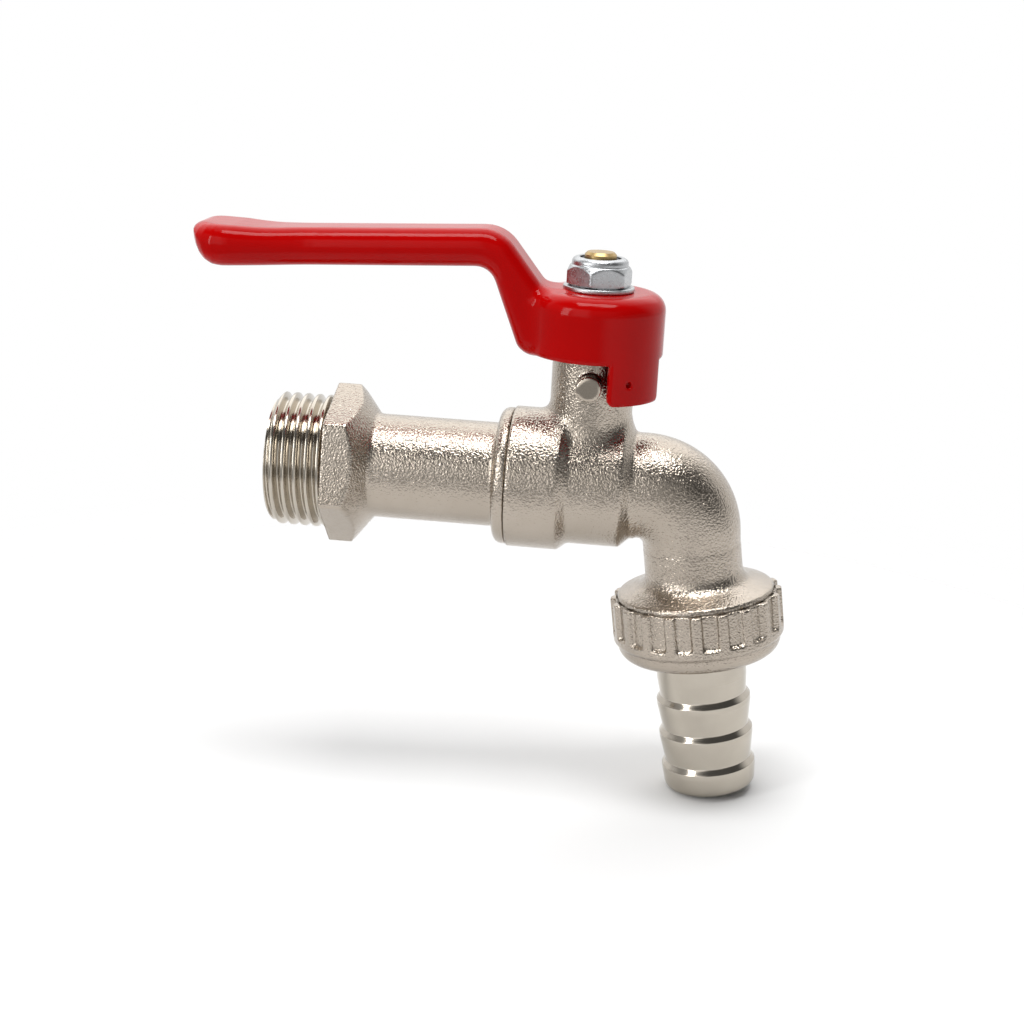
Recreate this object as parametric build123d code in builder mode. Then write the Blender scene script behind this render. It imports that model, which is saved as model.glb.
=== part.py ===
from build123d import *
import os
from math import cos, radians, sin, sqrt, tan

# Clearances shared by everything that fits together
running_gap = 0.05
thread_gap = 0.1
seat_gap = 0.05
skirt_gap = 0.25

# Slack when picking an edge by its position
pick_slack = 0.01

# Inlet tailpiece, along X from the hexagon's shoulder at the origin
inlet_thread_d = 20.955
inlet_thread_length = 9.2
inlet_thread_lead = 1.0
inlet_thread_runout = 0.6
inlet_thread_pitch = 1.814
inlet_thread_depth = 1.1
inlet_thread_crest = 0.45
inlet_thread_root = 0.3
hexagon_flats = 21.9
hexagon_corner_d = 25.0
hexagon_length = 3.6
hexagon_back_angle = 38.0
hexagon_turn = 19.0
tube_d = 16.3
tube_root_fillet = 0.9
collar_d = 21.4
collar_length = 2.1
collar_edge_radius = 1.4
collar_root_fillet = 0.4
inlet_bore_d = 12.0
nose_thread_d = 18.0

# Body barrel, along X from the stem axis
stem_reach = 40.1
socket_reach = 11.8
socket_d = 22.0
socket_edge = 0.3
barrel_step_reach = 3.9
barrel_step_length = 1.5
barrel_d = 19.6
barrel_reach = 5.7
barrel_end_length = 1.5
barrel_edge_radius = 0.5

# Ball, seats and waterway
ball_d = 12.6
waterway_d = 9.0
chamber_clearance = 0.2
seat_d = 13.2
seat_depth = 2.2
ball_slot_width = 2.6
ball_slot_depth = 1.35

# Neck and its two stop bosses
neck_d = 12.7
neck_top = 22.5
neck_root_fillet = 1.3
boss_d = 3.8
boss_height = 16.5
boss_reach = 9.3
boss_edge = 0.2

# Stem, packing and gland, by height above the inlet axis
stem_d = 6.0
stem_collar_d = 7.7
collar_pocket_wall = 0.4
stem_collar_height = 1.6
stem_collar_base = 7.0
thrust_washer_thickness = 0.7
packing_base = 12.2
packing_d = 9.2
packing_ring_height = 2.5
gland_thread_d = 10.0
gland_flats = 12.0
gland_head_height = 2.8
stem_flats = 4.4
stem_flats_base = 26.2
stem_end_d = 4.9
stem_end_chamfer = 0.4
stem_top = 35.9

# Lever: hub, skirt, stop tab and arm
hub_d = 20.8
hub_top = 30.1
hub_edge_radius = 2.6
hub_roof = 3.0
skirt_bottom = 20.3
skirt_wall = 2.0
skirt_edge_radius = 0.5
tab_bottom = 14.15
tab_start = -72.7
tab_end = -13.5
tab_corner_radius = 1.0
tab_pip_d = 0.9
tab_pip_depth = 0.5
tab_pip_angle = -55.0
tab_pip_height = 17.5
arm_width = 10.6
arm_edge_radius = 2.2
arm_thickness = 5.7
arm_droop = 3.4
arm_bend_height = 38.78
arm_bend_reach = 14.9
arm_neck_foot = 7.65
arm_root_sink = 0.4
arm_heel_reach = 11.35
arm_knee_reach = 16.35
arm_knee_radius = 3.2
arm_bend_radius = 6.0
arm_heel_radius = 2.4
arm_foot_radius = 3.0
arm_straight_reach = 22.0
arm_edge_share = 0.45
paddle_reach = 61.5
paddle_start = 43.0
paddle_nose_start = 57.0
paddle_flare_end = 60.0
paddle_width = 15.6
paddle_rise = 1.05
paddle_swell = 0.55
paddle_nose_share = 0.7
paddle_brow = 0.2
paddle_chin = 3.7
paddle_flare_steps = 6
paddle_nose_steps = 7

# Lever washer and lock nut, stacked on the hub
washer_d = 10.86
washer_thickness = 0.75
nut_flats = 9.0
nut_height = 3.0
nut_corner_d = 10.3
nut_turn = 20.0
nut_collar_d = 8.6
nut_collar_height = 1.25
nut_collar_edge = 0.8
nut_mouth_d = 5.7
insert_height = 1.0
insert_depth = 0.25

# Elbow and outlet; outlet levels run down the outlet axis from the inlet axis
elbow_reach = 7.86
bend_radius = 9.2
outlet_tilt = 8.5
elbow_start_d = 16.6
spout_d = 15.3
heel_swell = 0.45
flange_level = 14.4
flange_edge_level = 16.0
flange_base_level = 17.4
flange_d = 24.5
flange_root_fillet = 1.8
flange_edge_radius = 0.3
outlet_thread_d = 20.955
outlet_thread_end = 21.5

# Coupling nut
coupling_d = 26.9
coupling_top = 16.7
coupling_rib_end = 23.3
coupling_band_d = 25.7
coupling_band_step = 0.7
coupling_bottom = 26.4
coupling_bottom_radius = 2.2
coupling_top_radius = 0.35
coupling_rib_count = 20
coupling_rib_phase = -10.5
coupling_recess_width = 2.3
coupling_recess_depth = 0.5
coupling_recess_end = 22.2
coupling_hole_clearance = 0.2

# Hose tail and its gasket
gasket_thickness = 1.1
tail_flange_d = 19.4
tail_flange_thickness = 1.6
tail_bore_d = 10.0
tail_shank_d = 14.2
tail_neck_d = 13.7
tail_neck_start = 30.3
barb_count = 3
barb_pitch = 5.55
barb_first_crest = 33.9
barb_crest_d = 14.9
barb_land = 0.8
barb_shoulder = 0.8
tail_tip_d = 14.3
tail_end = 49.0
tail_end_radius = 1.3

os.makedirs("parts", exist_ok=True)

# Sizes that follow from the ones above
stem_axis = Axis((stem_reach, 0, 0), (0, 0, 1))
stem_section = Plane(origin=(stem_reach, 0, 0), x_dir=(1, 0, 0), z_dir=(0, -1, 0))
seam_x = stem_reach - socket_reach
tube_r = tube_d / 2
seat_back = sqrt((ball_d / 2) ** 2 - (waterway_d / 2) ** 2) + seat_depth / 2
seat_front = seat_back - seat_depth
nose_face = stem_reach - stem_collar_d / 2 - collar_pocket_wall
hub_ceiling = hub_top - hub_roof
skirt_r = hub_d / 2 - skirt_wall
chamber_r = max(ball_d, seat_d) / 2 + chamber_clearance
seat_pocket_d = seat_d + 2 * seat_gap
stem_bore_d = stem_d + 2 * running_gap
collar_pocket_d = stem_collar_d + 2 * running_gap
shoulder_height = stem_collar_base + stem_collar_height + seat_gap + thrust_washer_thickness
gland_base = packing_base + 2 * packing_ring_height
ball_slot_floor = ball_d / 2 - ball_slot_depth

# The outlet axis leaves the end of the bend, tilted outwards from the vertical
tilt = radians(outlet_tilt)
bend_end_x = stem_reach + elbow_reach + bend_radius * cos(tilt)
bend_end_z = bend_radius * (sin(tilt) - 1)
outlet_x = bend_end_x + bend_end_z * tan(tilt)
bend_end_level = -bend_end_z / cos(tilt)
outlet_direction = (sin(tilt), 0, -cos(tilt))
outlet_axis = Axis((outlet_x, 0, 0), outlet_direction)
outlet_section = Plane(origin=(outlet_x, 0, 0), x_dir=(cos(tilt), 0, sin(tilt)), z_dir=(0, 1, 0))
outlet_top = Plane(origin=(outlet_x, 0, 0), x_dir=(0, 1, 0), z_dir=outlet_direction)
bend_hinge = Axis((stem_reach + elbow_reach, 0, -bend_radius), (0, 1, 0))
gasket_top = outlet_thread_end
tail_top = gasket_top + gasket_thickness
coupling_lip = tail_top + tail_flange_thickness
coupling_hole_r = max(barb_crest_d, tail_shank_d) / 2 + coupling_hole_clearance


def elbow_section(share):
    """Plane and radius of the elbow's outside, from its start (0) to its end (1)."""
    turn = radians(share * (90 - outlet_tilt))
    swell = heel_swell * sin(radians(180 * share))
    reach = bend_radius + swell
    centre = (stem_reach + elbow_reach + reach * sin(turn), 0, -bend_radius + reach * cos(turn))
    radius = (elbow_start_d + (spout_d - elbow_start_d) * share) / 2
    return Plane(origin=centre, x_dir=(0, 1, 0), z_dir=(cos(turn), 0, -sin(turn))), radius + swell / 2


# Valve body: barrel, neck, bosses, elbow, flange and outlet thread in one forging
with BuildPart() as valve_body:
    with BuildSketch(Plane.XZ):
        with BuildLine():
            FilletPolyline(
                (seam_x, 0),
                (seam_x, socket_d / 2 - socket_edge),
                (seam_x + socket_edge, socket_d / 2),
                (stem_reach - barrel_step_reach, socket_d / 2),
                (stem_reach - barrel_step_reach + barrel_step_length, barrel_d / 2),
                (stem_reach + barrel_reach, barrel_d / 2),
                (stem_reach + barrel_reach + barrel_end_length, elbow_start_d / 2),
                (stem_reach + elbow_reach, elbow_start_d / 2),
                (stem_reach + elbow_reach, 0),
                radius=[0, 0, 0] + [barrel_edge_radius] * 4 + [0, 0],
                close=True,
            )
        make_face()
    revolve(axis=Axis.X)

    # Neck, with its root blended into the barrel
    with BuildSketch(Plane(origin=(stem_reach, 0, 0))):
        Circle(neck_d / 2)
    extrude(amount=neck_top)
    fillet(edges().filter_by(GeomType.BSPLINE), radius=neck_root_fillet)

    # Elbow
    for share in (0, 0.25, 0.5, 0.75, 1):
        section_plane, section_radius = elbow_section(share)
        with BuildSketch(section_plane):
            Circle(section_radius)
    loft()

    # Spout, flange and outlet thread
    with BuildSketch(outlet_section):
        with BuildLine():
            FilletPolyline(
                (0, bend_end_level),
                (spout_d / 2, bend_end_level),
                (spout_d / 2, flange_level),
                (flange_d / 2, flange_edge_level),
                (flange_d / 2, flange_base_level),
                (outlet_thread_d / 2, flange_base_level),
                (outlet_thread_d / 2, outlet_thread_end),
                (0, outlet_thread_end),
                radius=[0, 0, flange_root_fillet, flange_edge_radius, flange_edge_radius, 0, 0, 0],
                close=True,
            )
        make_face()
    revolve(axis=outlet_axis)

    # Stop bosses, front and back
    with BuildSketch(Plane(origin=(stem_reach, 0, boss_height), x_dir=(0, 1, 0), z_dir=(-1, 0, 0))):
        Polygon(
            (-boss_reach, 0),
            (-boss_reach, boss_d / 2 - boss_edge),
            (boss_edge - boss_reach, boss_d / 2),
            (boss_reach - boss_edge, boss_d / 2),
            (boss_reach, boss_d / 2 - boss_edge),
            (boss_reach, 0),
            align=None,
        )
    revolve(axis=Axis((stem_reach, 0, boss_height), (0, 1, 0)))

    # Socket, ball chamber, seat pocket and waterway
    with BuildSketch(Plane.XZ):
        Polygon(
            (seam_x, 0),
            (seam_x, nose_thread_d / 2 + thread_gap),
            (nose_face + seat_gap, nose_thread_d / 2 + thread_gap),
            (nose_face + seat_gap, chamber_r),
            (stem_reach + seat_front, chamber_r),
            (stem_reach + seat_front, seat_pocket_d / 2),
            (stem_reach + seat_back, seat_pocket_d / 2),
            (stem_reach + seat_back, waterway_d / 2),
            (stem_reach + elbow_reach, waterway_d / 2),
            (stem_reach + elbow_reach, 0),
            align=None,
        )
    revolve(axis=Axis.X, mode=Mode.SUBTRACT)
    with BuildSketch(Plane.YZ.offset(stem_reach + elbow_reach)):
        Circle(waterway_d / 2)
    revolve(axis=bend_hinge, revolution_arc=90 - outlet_tilt, mode=Mode.SUBTRACT)
    with BuildSketch(outlet_top.offset(bend_end_level)):
        Circle(waterway_d / 2)
    extrude(amount=outlet_thread_end - bend_end_level, mode=Mode.SUBTRACT)

    # Stem bore, stuffing box and gland thread
    with BuildSketch(stem_section):
        Polygon(
            (0, 0),
            (collar_pocket_d / 2, 0),
            (collar_pocket_d / 2, shoulder_height),
            (stem_bore_d / 2, shoulder_height),
            (stem_bore_d / 2, packing_base),
            (packing_d / 2, packing_base),
            (packing_d / 2, gland_base),
            (gland_thread_d / 2, gland_base),
            (gland_thread_d / 2, neck_top),
            (0, neck_top),
            align=None,
        )
    revolve(axis=stem_axis, mode=Mode.SUBTRACT)

# Inlet tailpiece
hexagon_foot = hexagon_length + (hexagon_corner_d / 2 - tube_r) * tan(radians(hexagon_back_angle))
tube_mid = (hexagon_foot + seam_x) / 2
inlet_thread_r = inlet_thread_d / 2
thread_root_r = inlet_thread_r - inlet_thread_depth
thread_flank = (inlet_thread_pitch - inlet_thread_crest - inlet_thread_root) / 2
thread_room = inlet_thread_length - inlet_thread_lead - inlet_thread_runout
thread_profile = [
    (0, 0),
    (-inlet_thread_length, 0),
    (-inlet_thread_length, inlet_thread_r - inlet_thread_lead),
    (inlet_thread_lead - inlet_thread_length, inlet_thread_r),
]
for groove in reversed(range(int(thread_room / inlet_thread_pitch))):
    groove_near = -inlet_thread_runout - groove * inlet_thread_pitch
    groove_far = groove_near - inlet_thread_pitch + inlet_thread_crest
    thread_profile.append((groove_far, inlet_thread_r))
    thread_profile.append((groove_far + thread_flank, thread_root_r))
    thread_profile.append((groove_near - thread_flank, thread_root_r))
    thread_profile.append((groove_near, inlet_thread_r))
thread_profile.append((0, inlet_thread_r))
with BuildPart() as inlet_tailpiece:
    with BuildSketch(Plane.XZ):
        with BuildLine():
            FilletPolyline(
                (0, 0),
                (0, hexagon_corner_d / 2),
                (hexagon_length, hexagon_corner_d / 2),
                (hexagon_foot, tube_r),
                (tube_mid, tube_r),
                (tube_mid, 0),
                radius=[0, 0, 0, tube_root_fillet, 0, 0],
                close=True,
            )
        make_face()
    revolve(axis=Axis.X)
    with BuildSketch(Plane.YZ):
        RegularPolygon(hexagon_flats / 2, 6, major_radius=False, rotation=hexagon_turn)
    extrude(amount=tube_mid, mode=Mode.INTERSECT)
    with BuildSketch(Plane.XZ):
        Polygon(*thread_profile, align=None)
        with BuildLine():
            FilletPolyline(
                (tube_mid, 0),
                (tube_mid, tube_r),
                (seam_x - collar_length, tube_r),
                (seam_x - collar_length, collar_d / 2),
                (seam_x, collar_d / 2),
                (seam_x, nose_thread_d / 2),
                (nose_face, nose_thread_d / 2),
                (nose_face, 0),
                radius=[0, 0, collar_root_fillet, collar_edge_radius, 0, 0, 0, 0],
                close=True,
            )
        make_face()
    revolve(axis=Axis.X)
    with BuildSketch(Plane.XZ):
        Polygon(
            (-inlet_thread_length, 0),
            (-inlet_thread_length, inlet_bore_d / 2),
            (seam_x, inlet_bore_d / 2),
            (stem_reach - seat_back, waterway_d / 2),
            (stem_reach - seat_back, seat_pocket_d / 2),
            (nose_face, seat_pocket_d / 2),
            (nose_face, 0),
            align=None,
        )
    revolve(axis=Axis.X, mode=Mode.SUBTRACT)

# Ball, bored through and slotted for the stem's tongue
ball_edge = sqrt((ball_d / 2) ** 2 - (waterway_d / 2) ** 2)
with BuildPart() as ball:
    with BuildSketch(Plane.XZ):
        with BuildLine():
            ThreePointArc(
                (stem_reach - ball_edge, waterway_d / 2),
                (stem_reach, ball_d / 2),
                (stem_reach + ball_edge, waterway_d / 2),
            )
            Line((stem_reach + ball_edge, waterway_d / 2), (stem_reach - ball_edge, waterway_d / 2))
        make_face()
    revolve(axis=Axis.X)
    with BuildSketch(Plane(origin=(stem_reach, 0, ball_slot_floor))):
        Rectangle(ball_slot_width, ball_d)
    extrude(amount=ball_slot_depth, mode=Mode.SUBTRACT)


def seat_ring(side):
    """Ring with a spherical face that the ball runs on, on either side of the ball."""
    face_r = ball_d / 2 + seat_gap
    lip_r = sqrt(face_r**2 - seat_front**2)
    bore_edge = sqrt(face_r**2 - (waterway_d / 2) ** 2)
    middle_r = (lip_r + waterway_d / 2) / 2
    with BuildPart() as ring:
        with BuildSketch(Plane.XZ):
            with BuildLine():
                ThreePointArc(
                    (stem_reach + side * seat_front, lip_r),
                    (stem_reach + side * sqrt(face_r**2 - middle_r**2), middle_r),
                    (stem_reach + side * bore_edge, waterway_d / 2),
                )
                Polyline(
                    (stem_reach + side * bore_edge, waterway_d / 2),
                    (stem_reach + side * seat_back, waterway_d / 2),
                    (stem_reach + side * seat_back, seat_d / 2),
                    (stem_reach + side * seat_front, seat_d / 2),
                    (stem_reach + side * seat_front, lip_r),
                )
            make_face()
        revolve(axis=Axis.X)
    return ring


upstream_seat = seat_ring(-1)
downstream_seat = seat_ring(1)

# Stem: tongue, collar, shaft, driving flats and threaded end
with BuildPart() as stem:
    with BuildSketch(stem_section):
        with BuildLine():
            FilletPolyline(
                (0, stem_collar_base),
                (stem_collar_d / 2, stem_collar_base),
                (stem_collar_d / 2, stem_collar_base + stem_collar_height),
                (stem_d / 2, stem_collar_base + stem_collar_height),
                (stem_d / 2, hub_top),
                (stem_end_d / 2, hub_top),
                (stem_end_d / 2, stem_top - stem_end_chamfer),
                (stem_end_d / 2 - stem_end_chamfer, stem_top),
                (0, stem_top),
                radius=0,
                close=True,
            )
        make_face()
    revolve(axis=stem_axis)
    with BuildSketch(Plane(origin=(stem_reach, 0, stem_flats_base))):
        with Locations((stem_d / 2 + stem_flats / 2, 0), (-stem_d / 2 - stem_flats / 2, 0)):
            Rectangle(stem_d, stem_d)
    extrude(amount=hub_top - stem_flats_base, mode=Mode.SUBTRACT)
    with BuildSketch(Plane(origin=(stem_reach, 0, ball_slot_floor + seat_gap))):
        Circle(stem_d / 2)
        Rectangle(ball_slot_width - 2 * running_gap, stem_d, mode=Mode.INTERSECT)
    extrude(amount=stem_collar_base - ball_slot_floor - seat_gap)

with BuildPart() as thrust_washer:
    with BuildSketch(Plane(origin=(stem_reach, 0, shoulder_height - thrust_washer_thickness))):
        Circle(collar_pocket_d / 2)
        Circle(stem_bore_d / 2, mode=Mode.SUBTRACT)
    extrude(amount=thrust_washer_thickness)


def packing_ring(base):
    """Square-section ring in the stuffing box."""
    with BuildPart() as ring:
        with BuildSketch(Plane(origin=(stem_reach, 0, base))):
            Circle(packing_d / 2)
            Circle(stem_bore_d / 2, mode=Mode.SUBTRACT)
        extrude(amount=packing_ring_height)
    return ring


lower_packing = packing_ring(packing_base)
upper_packing = packing_ring(packing_base + packing_ring_height)

with BuildPart() as gland_nut:
    with BuildSketch(Plane(origin=(stem_reach, 0, gland_base))):
        Circle(gland_thread_d / 2)
    extrude(amount=neck_top - gland_base)
    with BuildSketch(Plane(origin=(stem_reach, 0, neck_top))):
        RegularPolygon(gland_flats / 2, 6, major_radius=False)
    extrude(amount=gland_head_height)
    with BuildSketch(Plane(origin=(stem_reach, 0, gland_base))):
        Circle(stem_bore_d / 2)
    extrude(amount=neck_top + gland_head_height - gland_base, mode=Mode.SUBTRACT)

# Lever: the arm's cranked root, then the bar and paddle, then the hub round the root
droop = radians(arm_droop)
arm_along = (-cos(droop), 0, -sin(droop))


def arm_top(reach):
    """Height of the arm's top face at this reach from the stem axis."""
    return arm_bend_height - tan(droop) * (reach - arm_bend_reach)


def paddle_section(reach):
    """Width, top height and thickness of the bar and paddle at this reach."""
    spread = min(1, max(0, (reach - paddle_start) / (paddle_flare_end - paddle_start)))
    blend = spread * spread * (3 - 2 * spread)
    nose = max(0, (reach - paddle_nose_start) / (paddle_reach - paddle_nose_start))
    roundness = sqrt(1 - nose**8 * paddle_nose_share)
    width = (arm_width + (paddle_width - arm_width) * blend) * roundness
    top = arm_top(reach) + paddle_rise * blend - paddle_brow * nose**4
    thickness = arm_thickness + paddle_swell * blend - paddle_chin * nose**2
    return width, top, thickness


paddle_stations = [arm_straight_reach]
for step in range(paddle_flare_steps + 1):
    paddle_stations.append(paddle_start + (paddle_nose_start - paddle_start) * step / paddle_flare_steps)
for step in range(1, paddle_nose_steps + 1):
    nose_turn = radians(90 * step / paddle_nose_steps)
    paddle_stations.append(paddle_nose_start + (paddle_reach - paddle_nose_start) * sin(nose_turn))

with BuildPart() as lever:
    with BuildSketch(stem_section):
        with BuildLine():
            FilletPolyline(
                (-arm_straight_reach, arm_top(arm_straight_reach)),
                (-arm_bend_reach, arm_bend_height),
                (-arm_neck_foot, hub_top - arm_root_sink),
                (0, hub_top - arm_root_sink),
                (0, skirt_bottom),
                (-arm_heel_reach, skirt_bottom),
                (-arm_knee_reach, arm_top(arm_knee_reach) - arm_thickness / cos(droop)),
                (
                    arm_thickness * sin(droop) - arm_straight_reach,
                    arm_top(arm_straight_reach) - arm_thickness * cos(droop),
                ),
                radius=[0, arm_bend_radius, arm_foot_radius, 0, 0, arm_heel_radius, arm_knee_radius, 0],
                close=True,
            )
        make_face()
    extrude(amount=arm_width / 2, both=True)
    straight_end = stem_reach - arm_straight_reach + arm_thickness * sin(droop)
    flank_edges = edges().filter_by(
        lambda edge: abs(abs(edge.center().Y) - arm_width / 2) < pick_slack
        and straight_end + pick_slack < edge.center().X < stem_reach - pick_slack
    )
    fillet(flank_edges, radius=arm_edge_radius)
    for reach in paddle_stations:
        width, top, thickness = paddle_section(reach)
        middle = (
            stem_reach - reach + thickness / 2 * sin(droop),
            0,
            top - thickness / 2 * cos(droop),
        )
        section_plane = Plane(origin=middle, x_dir=(0, 1, 0), z_dir=arm_along)
        with BuildSketch(section_plane):
            RectangleRounded(width, thickness, min(arm_edge_radius, thickness * arm_edge_share))
    loft(ruled=True)

    # Hub with its rounded shoulder, and the stop tab hanging below its skirt
    with BuildSketch(stem_section):
        with BuildLine():
            FilletPolyline(
                (0, skirt_bottom),
                (hub_d / 2, skirt_bottom),
                (hub_d / 2, hub_top),
                (0, hub_top),
                radius=[0, skirt_edge_radius, hub_edge_radius, 0],
                close=True,
            )
        make_face()
    revolve(axis=stem_axis)
    with BuildSketch(Plane(origin=(stem_reach, 0, tab_bottom))):
        with BuildLine():
            tab_arc = CenterArc((0, 0), hub_d / 2, tab_start, tab_end - tab_start)
            Polyline(tab_arc @ 1, (0, 0), tab_arc @ 0)
        make_face()
        Circle(skirt_r, mode=Mode.SUBTRACT)
    extrude(amount=skirt_bottom + hub_edge_radius - tab_bottom)
    tab_corners = (
        edges()
        .filter_by(GeomType.LINE)
        .filter_by(lambda edge: abs(edge.center().Z - tab_bottom) < pick_slack)
    )
    fillet(tab_corners, radius=tab_corner_radius)

    # Hollow under the hub, the hole for the stem's flats, and the pip in the tab
    with BuildSketch(Plane(origin=(stem_reach, 0, tab_bottom))):
        Circle(skirt_r)
    extrude(amount=hub_ceiling - tab_bottom, mode=Mode.SUBTRACT)
    with BuildSketch(Plane(origin=(stem_reach, 0, hub_ceiling))):
        Circle(stem_bore_d / 2)
        Rectangle(stem_flats + 2 * running_gap, stem_bore_d, mode=Mode.INTERSECT)
    extrude(amount=hub_roof, mode=Mode.SUBTRACT)
    pip_angle = radians(tab_pip_angle)
    pip_face = Plane(
        origin=(stem_reach + hub_d / 2 * cos(pip_angle), hub_d / 2 * sin(pip_angle), tab_pip_height),
        x_dir=(0, 0, 1),
        z_dir=(cos(pip_angle), sin(pip_angle), 0),
    )
    with BuildSketch(pip_face):
        Circle(tab_pip_d / 2)
    extrude(amount=-tab_pip_depth, mode=Mode.SUBTRACT)

# Washer, lock nut and locking ring on the stem's end
washer_top = hub_top + washer_thickness
nut_top = washer_top + nut_height
collar_top = nut_top + nut_collar_height
stem_end_hole_d = stem_end_d + 2 * running_gap
with BuildPart() as lever_washer:
    with BuildSketch(Plane(origin=(stem_reach, 0, hub_top))):
        Circle(washer_d / 2)
        Circle(stem_end_hole_d / 2, mode=Mode.SUBTRACT)
    extrude(amount=washer_thickness)

with BuildPart() as lock_nut:
    nut_chamfer = (nut_corner_d - nut_flats) / 2
    with BuildSketch(stem_section):
        Polygon(
            (0, washer_top),
            (nut_flats / 2, washer_top),
            (nut_corner_d / 2, washer_top + nut_chamfer / 2),
            (nut_corner_d / 2, nut_top - nut_chamfer / 2),
            (nut_flats / 2, nut_top),
            (0, nut_top),
            align=None,
        )
    revolve(axis=stem_axis)
    with BuildSketch(Plane(origin=(stem_reach, 0, washer_top))):
        RegularPolygon(nut_flats / 2, 6, major_radius=False, rotation=nut_turn)
    extrude(amount=nut_height, mode=Mode.INTERSECT)
    with BuildSketch(stem_section):
        with BuildLine():
            FilletPolyline(
                (0, nut_top),
                (nut_collar_d / 2, nut_top),
                (nut_collar_d / 2, collar_top),
                (0, collar_top),
                radius=[0, 0, nut_collar_edge, 0],
                close=True,
            )
        make_face()
    revolve(axis=stem_axis)
    with BuildSketch(stem_section):
        Polygon(
            (0, washer_top),
            (stem_end_hole_d / 2, washer_top),
            (stem_end_hole_d / 2, collar_top - insert_depth - insert_height),
            (nut_mouth_d / 2, collar_top - insert_depth - insert_height),
            (nut_mouth_d / 2, collar_top),
            (0, collar_top),
            align=None,
        )
    revolve(axis=stem_axis, mode=Mode.SUBTRACT)

with BuildPart() as nylon_insert:
    with BuildSketch(Plane(origin=(stem_reach, 0, collar_top - insert_depth - insert_height))):
        Circle(nut_mouth_d / 2)
        Circle(stem_end_hole_d / 2, mode=Mode.SUBTRACT)
    extrude(amount=insert_height)

# Coupling nut: ribbed outside, mouth round the flange, lip under the hose tail's flange
with BuildPart() as coupling_nut:
    band_r = coupling_band_d / 2
    with BuildSketch(outlet_section):
        with BuildLine():
            FilletPolyline(
                (coupling_hole_r, coupling_top),
                (coupling_d / 2, coupling_top),
                (coupling_d / 2, coupling_rib_end),
                (band_r, coupling_rib_end + coupling_band_step),
                (band_r, coupling_bottom),
                (coupling_hole_r, coupling_bottom),
                radius=[0] + [coupling_top_radius] * 3 + [coupling_bottom_radius, 0],
                close=True,
            )
        make_face()
    revolve(axis=outlet_axis)
    recess_floor = coupling_d / 2 - coupling_recess_depth
    with BuildSketch(outlet_top.offset(coupling_recess_end)):
        with PolarLocations(
            recess_floor + coupling_recess_depth,
            coupling_rib_count,
            start_angle=coupling_rib_phase,
        ):
            Rectangle(2 * coupling_recess_depth, coupling_recess_width)
    extrude(amount=coupling_top - coupling_recess_end - coupling_top_radius, mode=Mode.SUBTRACT)
    with BuildSketch(outlet_section):
        Polygon(
            (0, coupling_top),
            (flange_d / 2 + skirt_gap, coupling_top),
            (flange_d / 2 + skirt_gap, flange_base_level + thread_gap),
            (outlet_thread_d / 2 + thread_gap, flange_base_level + thread_gap),
            (outlet_thread_d / 2 + thread_gap, coupling_lip),
            (0, coupling_lip),
            align=None,
        )
    revolve(axis=outlet_axis, mode=Mode.SUBTRACT)

with BuildPart() as tail_gasket:
    with BuildSketch(outlet_top.offset(gasket_top)):
        Circle(tail_flange_d / 2)
        Circle(tail_bore_d / 2, mode=Mode.SUBTRACT)
    extrude(amount=gasket_thickness)

# Hose tail: flange, shank and barbs that face back towards the nut
tail_profile = [
    (tail_bore_d / 2, tail_top),
    (tail_flange_d / 2, tail_top),
    (tail_flange_d / 2, coupling_lip),
    (tail_shank_d / 2, coupling_lip),
    (tail_shank_d / 2, tail_neck_start),
    (tail_neck_d / 2, barb_first_crest - barb_shoulder),
]
for barb in range(barb_count):
    crest = barb_first_crest + barb * barb_pitch
    tail_profile.append((barb_crest_d / 2, crest))
    tail_profile.append((barb_crest_d / 2, crest + barb_land))
    if barb < barb_count - 1:
        tail_profile.append((tail_neck_d / 2, crest + barb_pitch - barb_shoulder))
tail_profile.append((tail_tip_d / 2, tail_end))
tail_profile.append((tail_bore_d / 2, tail_end))
with BuildPart() as hose_tail:
    with BuildSketch(outlet_section):
        with BuildLine():
            FilletPolyline(
                *tail_profile,
                radius=[0] * (len(tail_profile) - 2) + [tail_end_radius, 0],
                close=True,
            )
        make_face()
    revolve(axis=outlet_axis)

pieces = {
    "valve_body": valve_body,
    "inlet_tailpiece": inlet_tailpiece,
    "ball": ball,
    "upstream_seat": upstream_seat,
    "downstream_seat": downstream_seat,
    "stem": stem,
    "thrust_washer": thrust_washer,
    "lower_packing": lower_packing,
    "upper_packing": upper_packing,
    "gland_nut": gland_nut,
    "lever": lever,
    "lever_washer": lever_washer,
    "lock_nut": lock_nut,
    "nylon_insert": nylon_insert,
    "coupling_nut": coupling_nut,
    "tail_gasket": tail_gasket,
    "hose_tail": hose_tail,
}
for name, piece in pieces.items():
    piece.part.label = name
    export_step(piece.part, f"parts/{name}.step")
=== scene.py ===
"""Looks of a quarter-turn hose tap: forged body, coated lever, union nut and barbed tail."""

import logging
import math
from dataclasses import dataclass, field
from enum import Enum
from typing import Any, Callable, Mapping, Sequence, Union

import bpy
import numpy as np
from mathutils import Matrix, Vector


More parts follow.
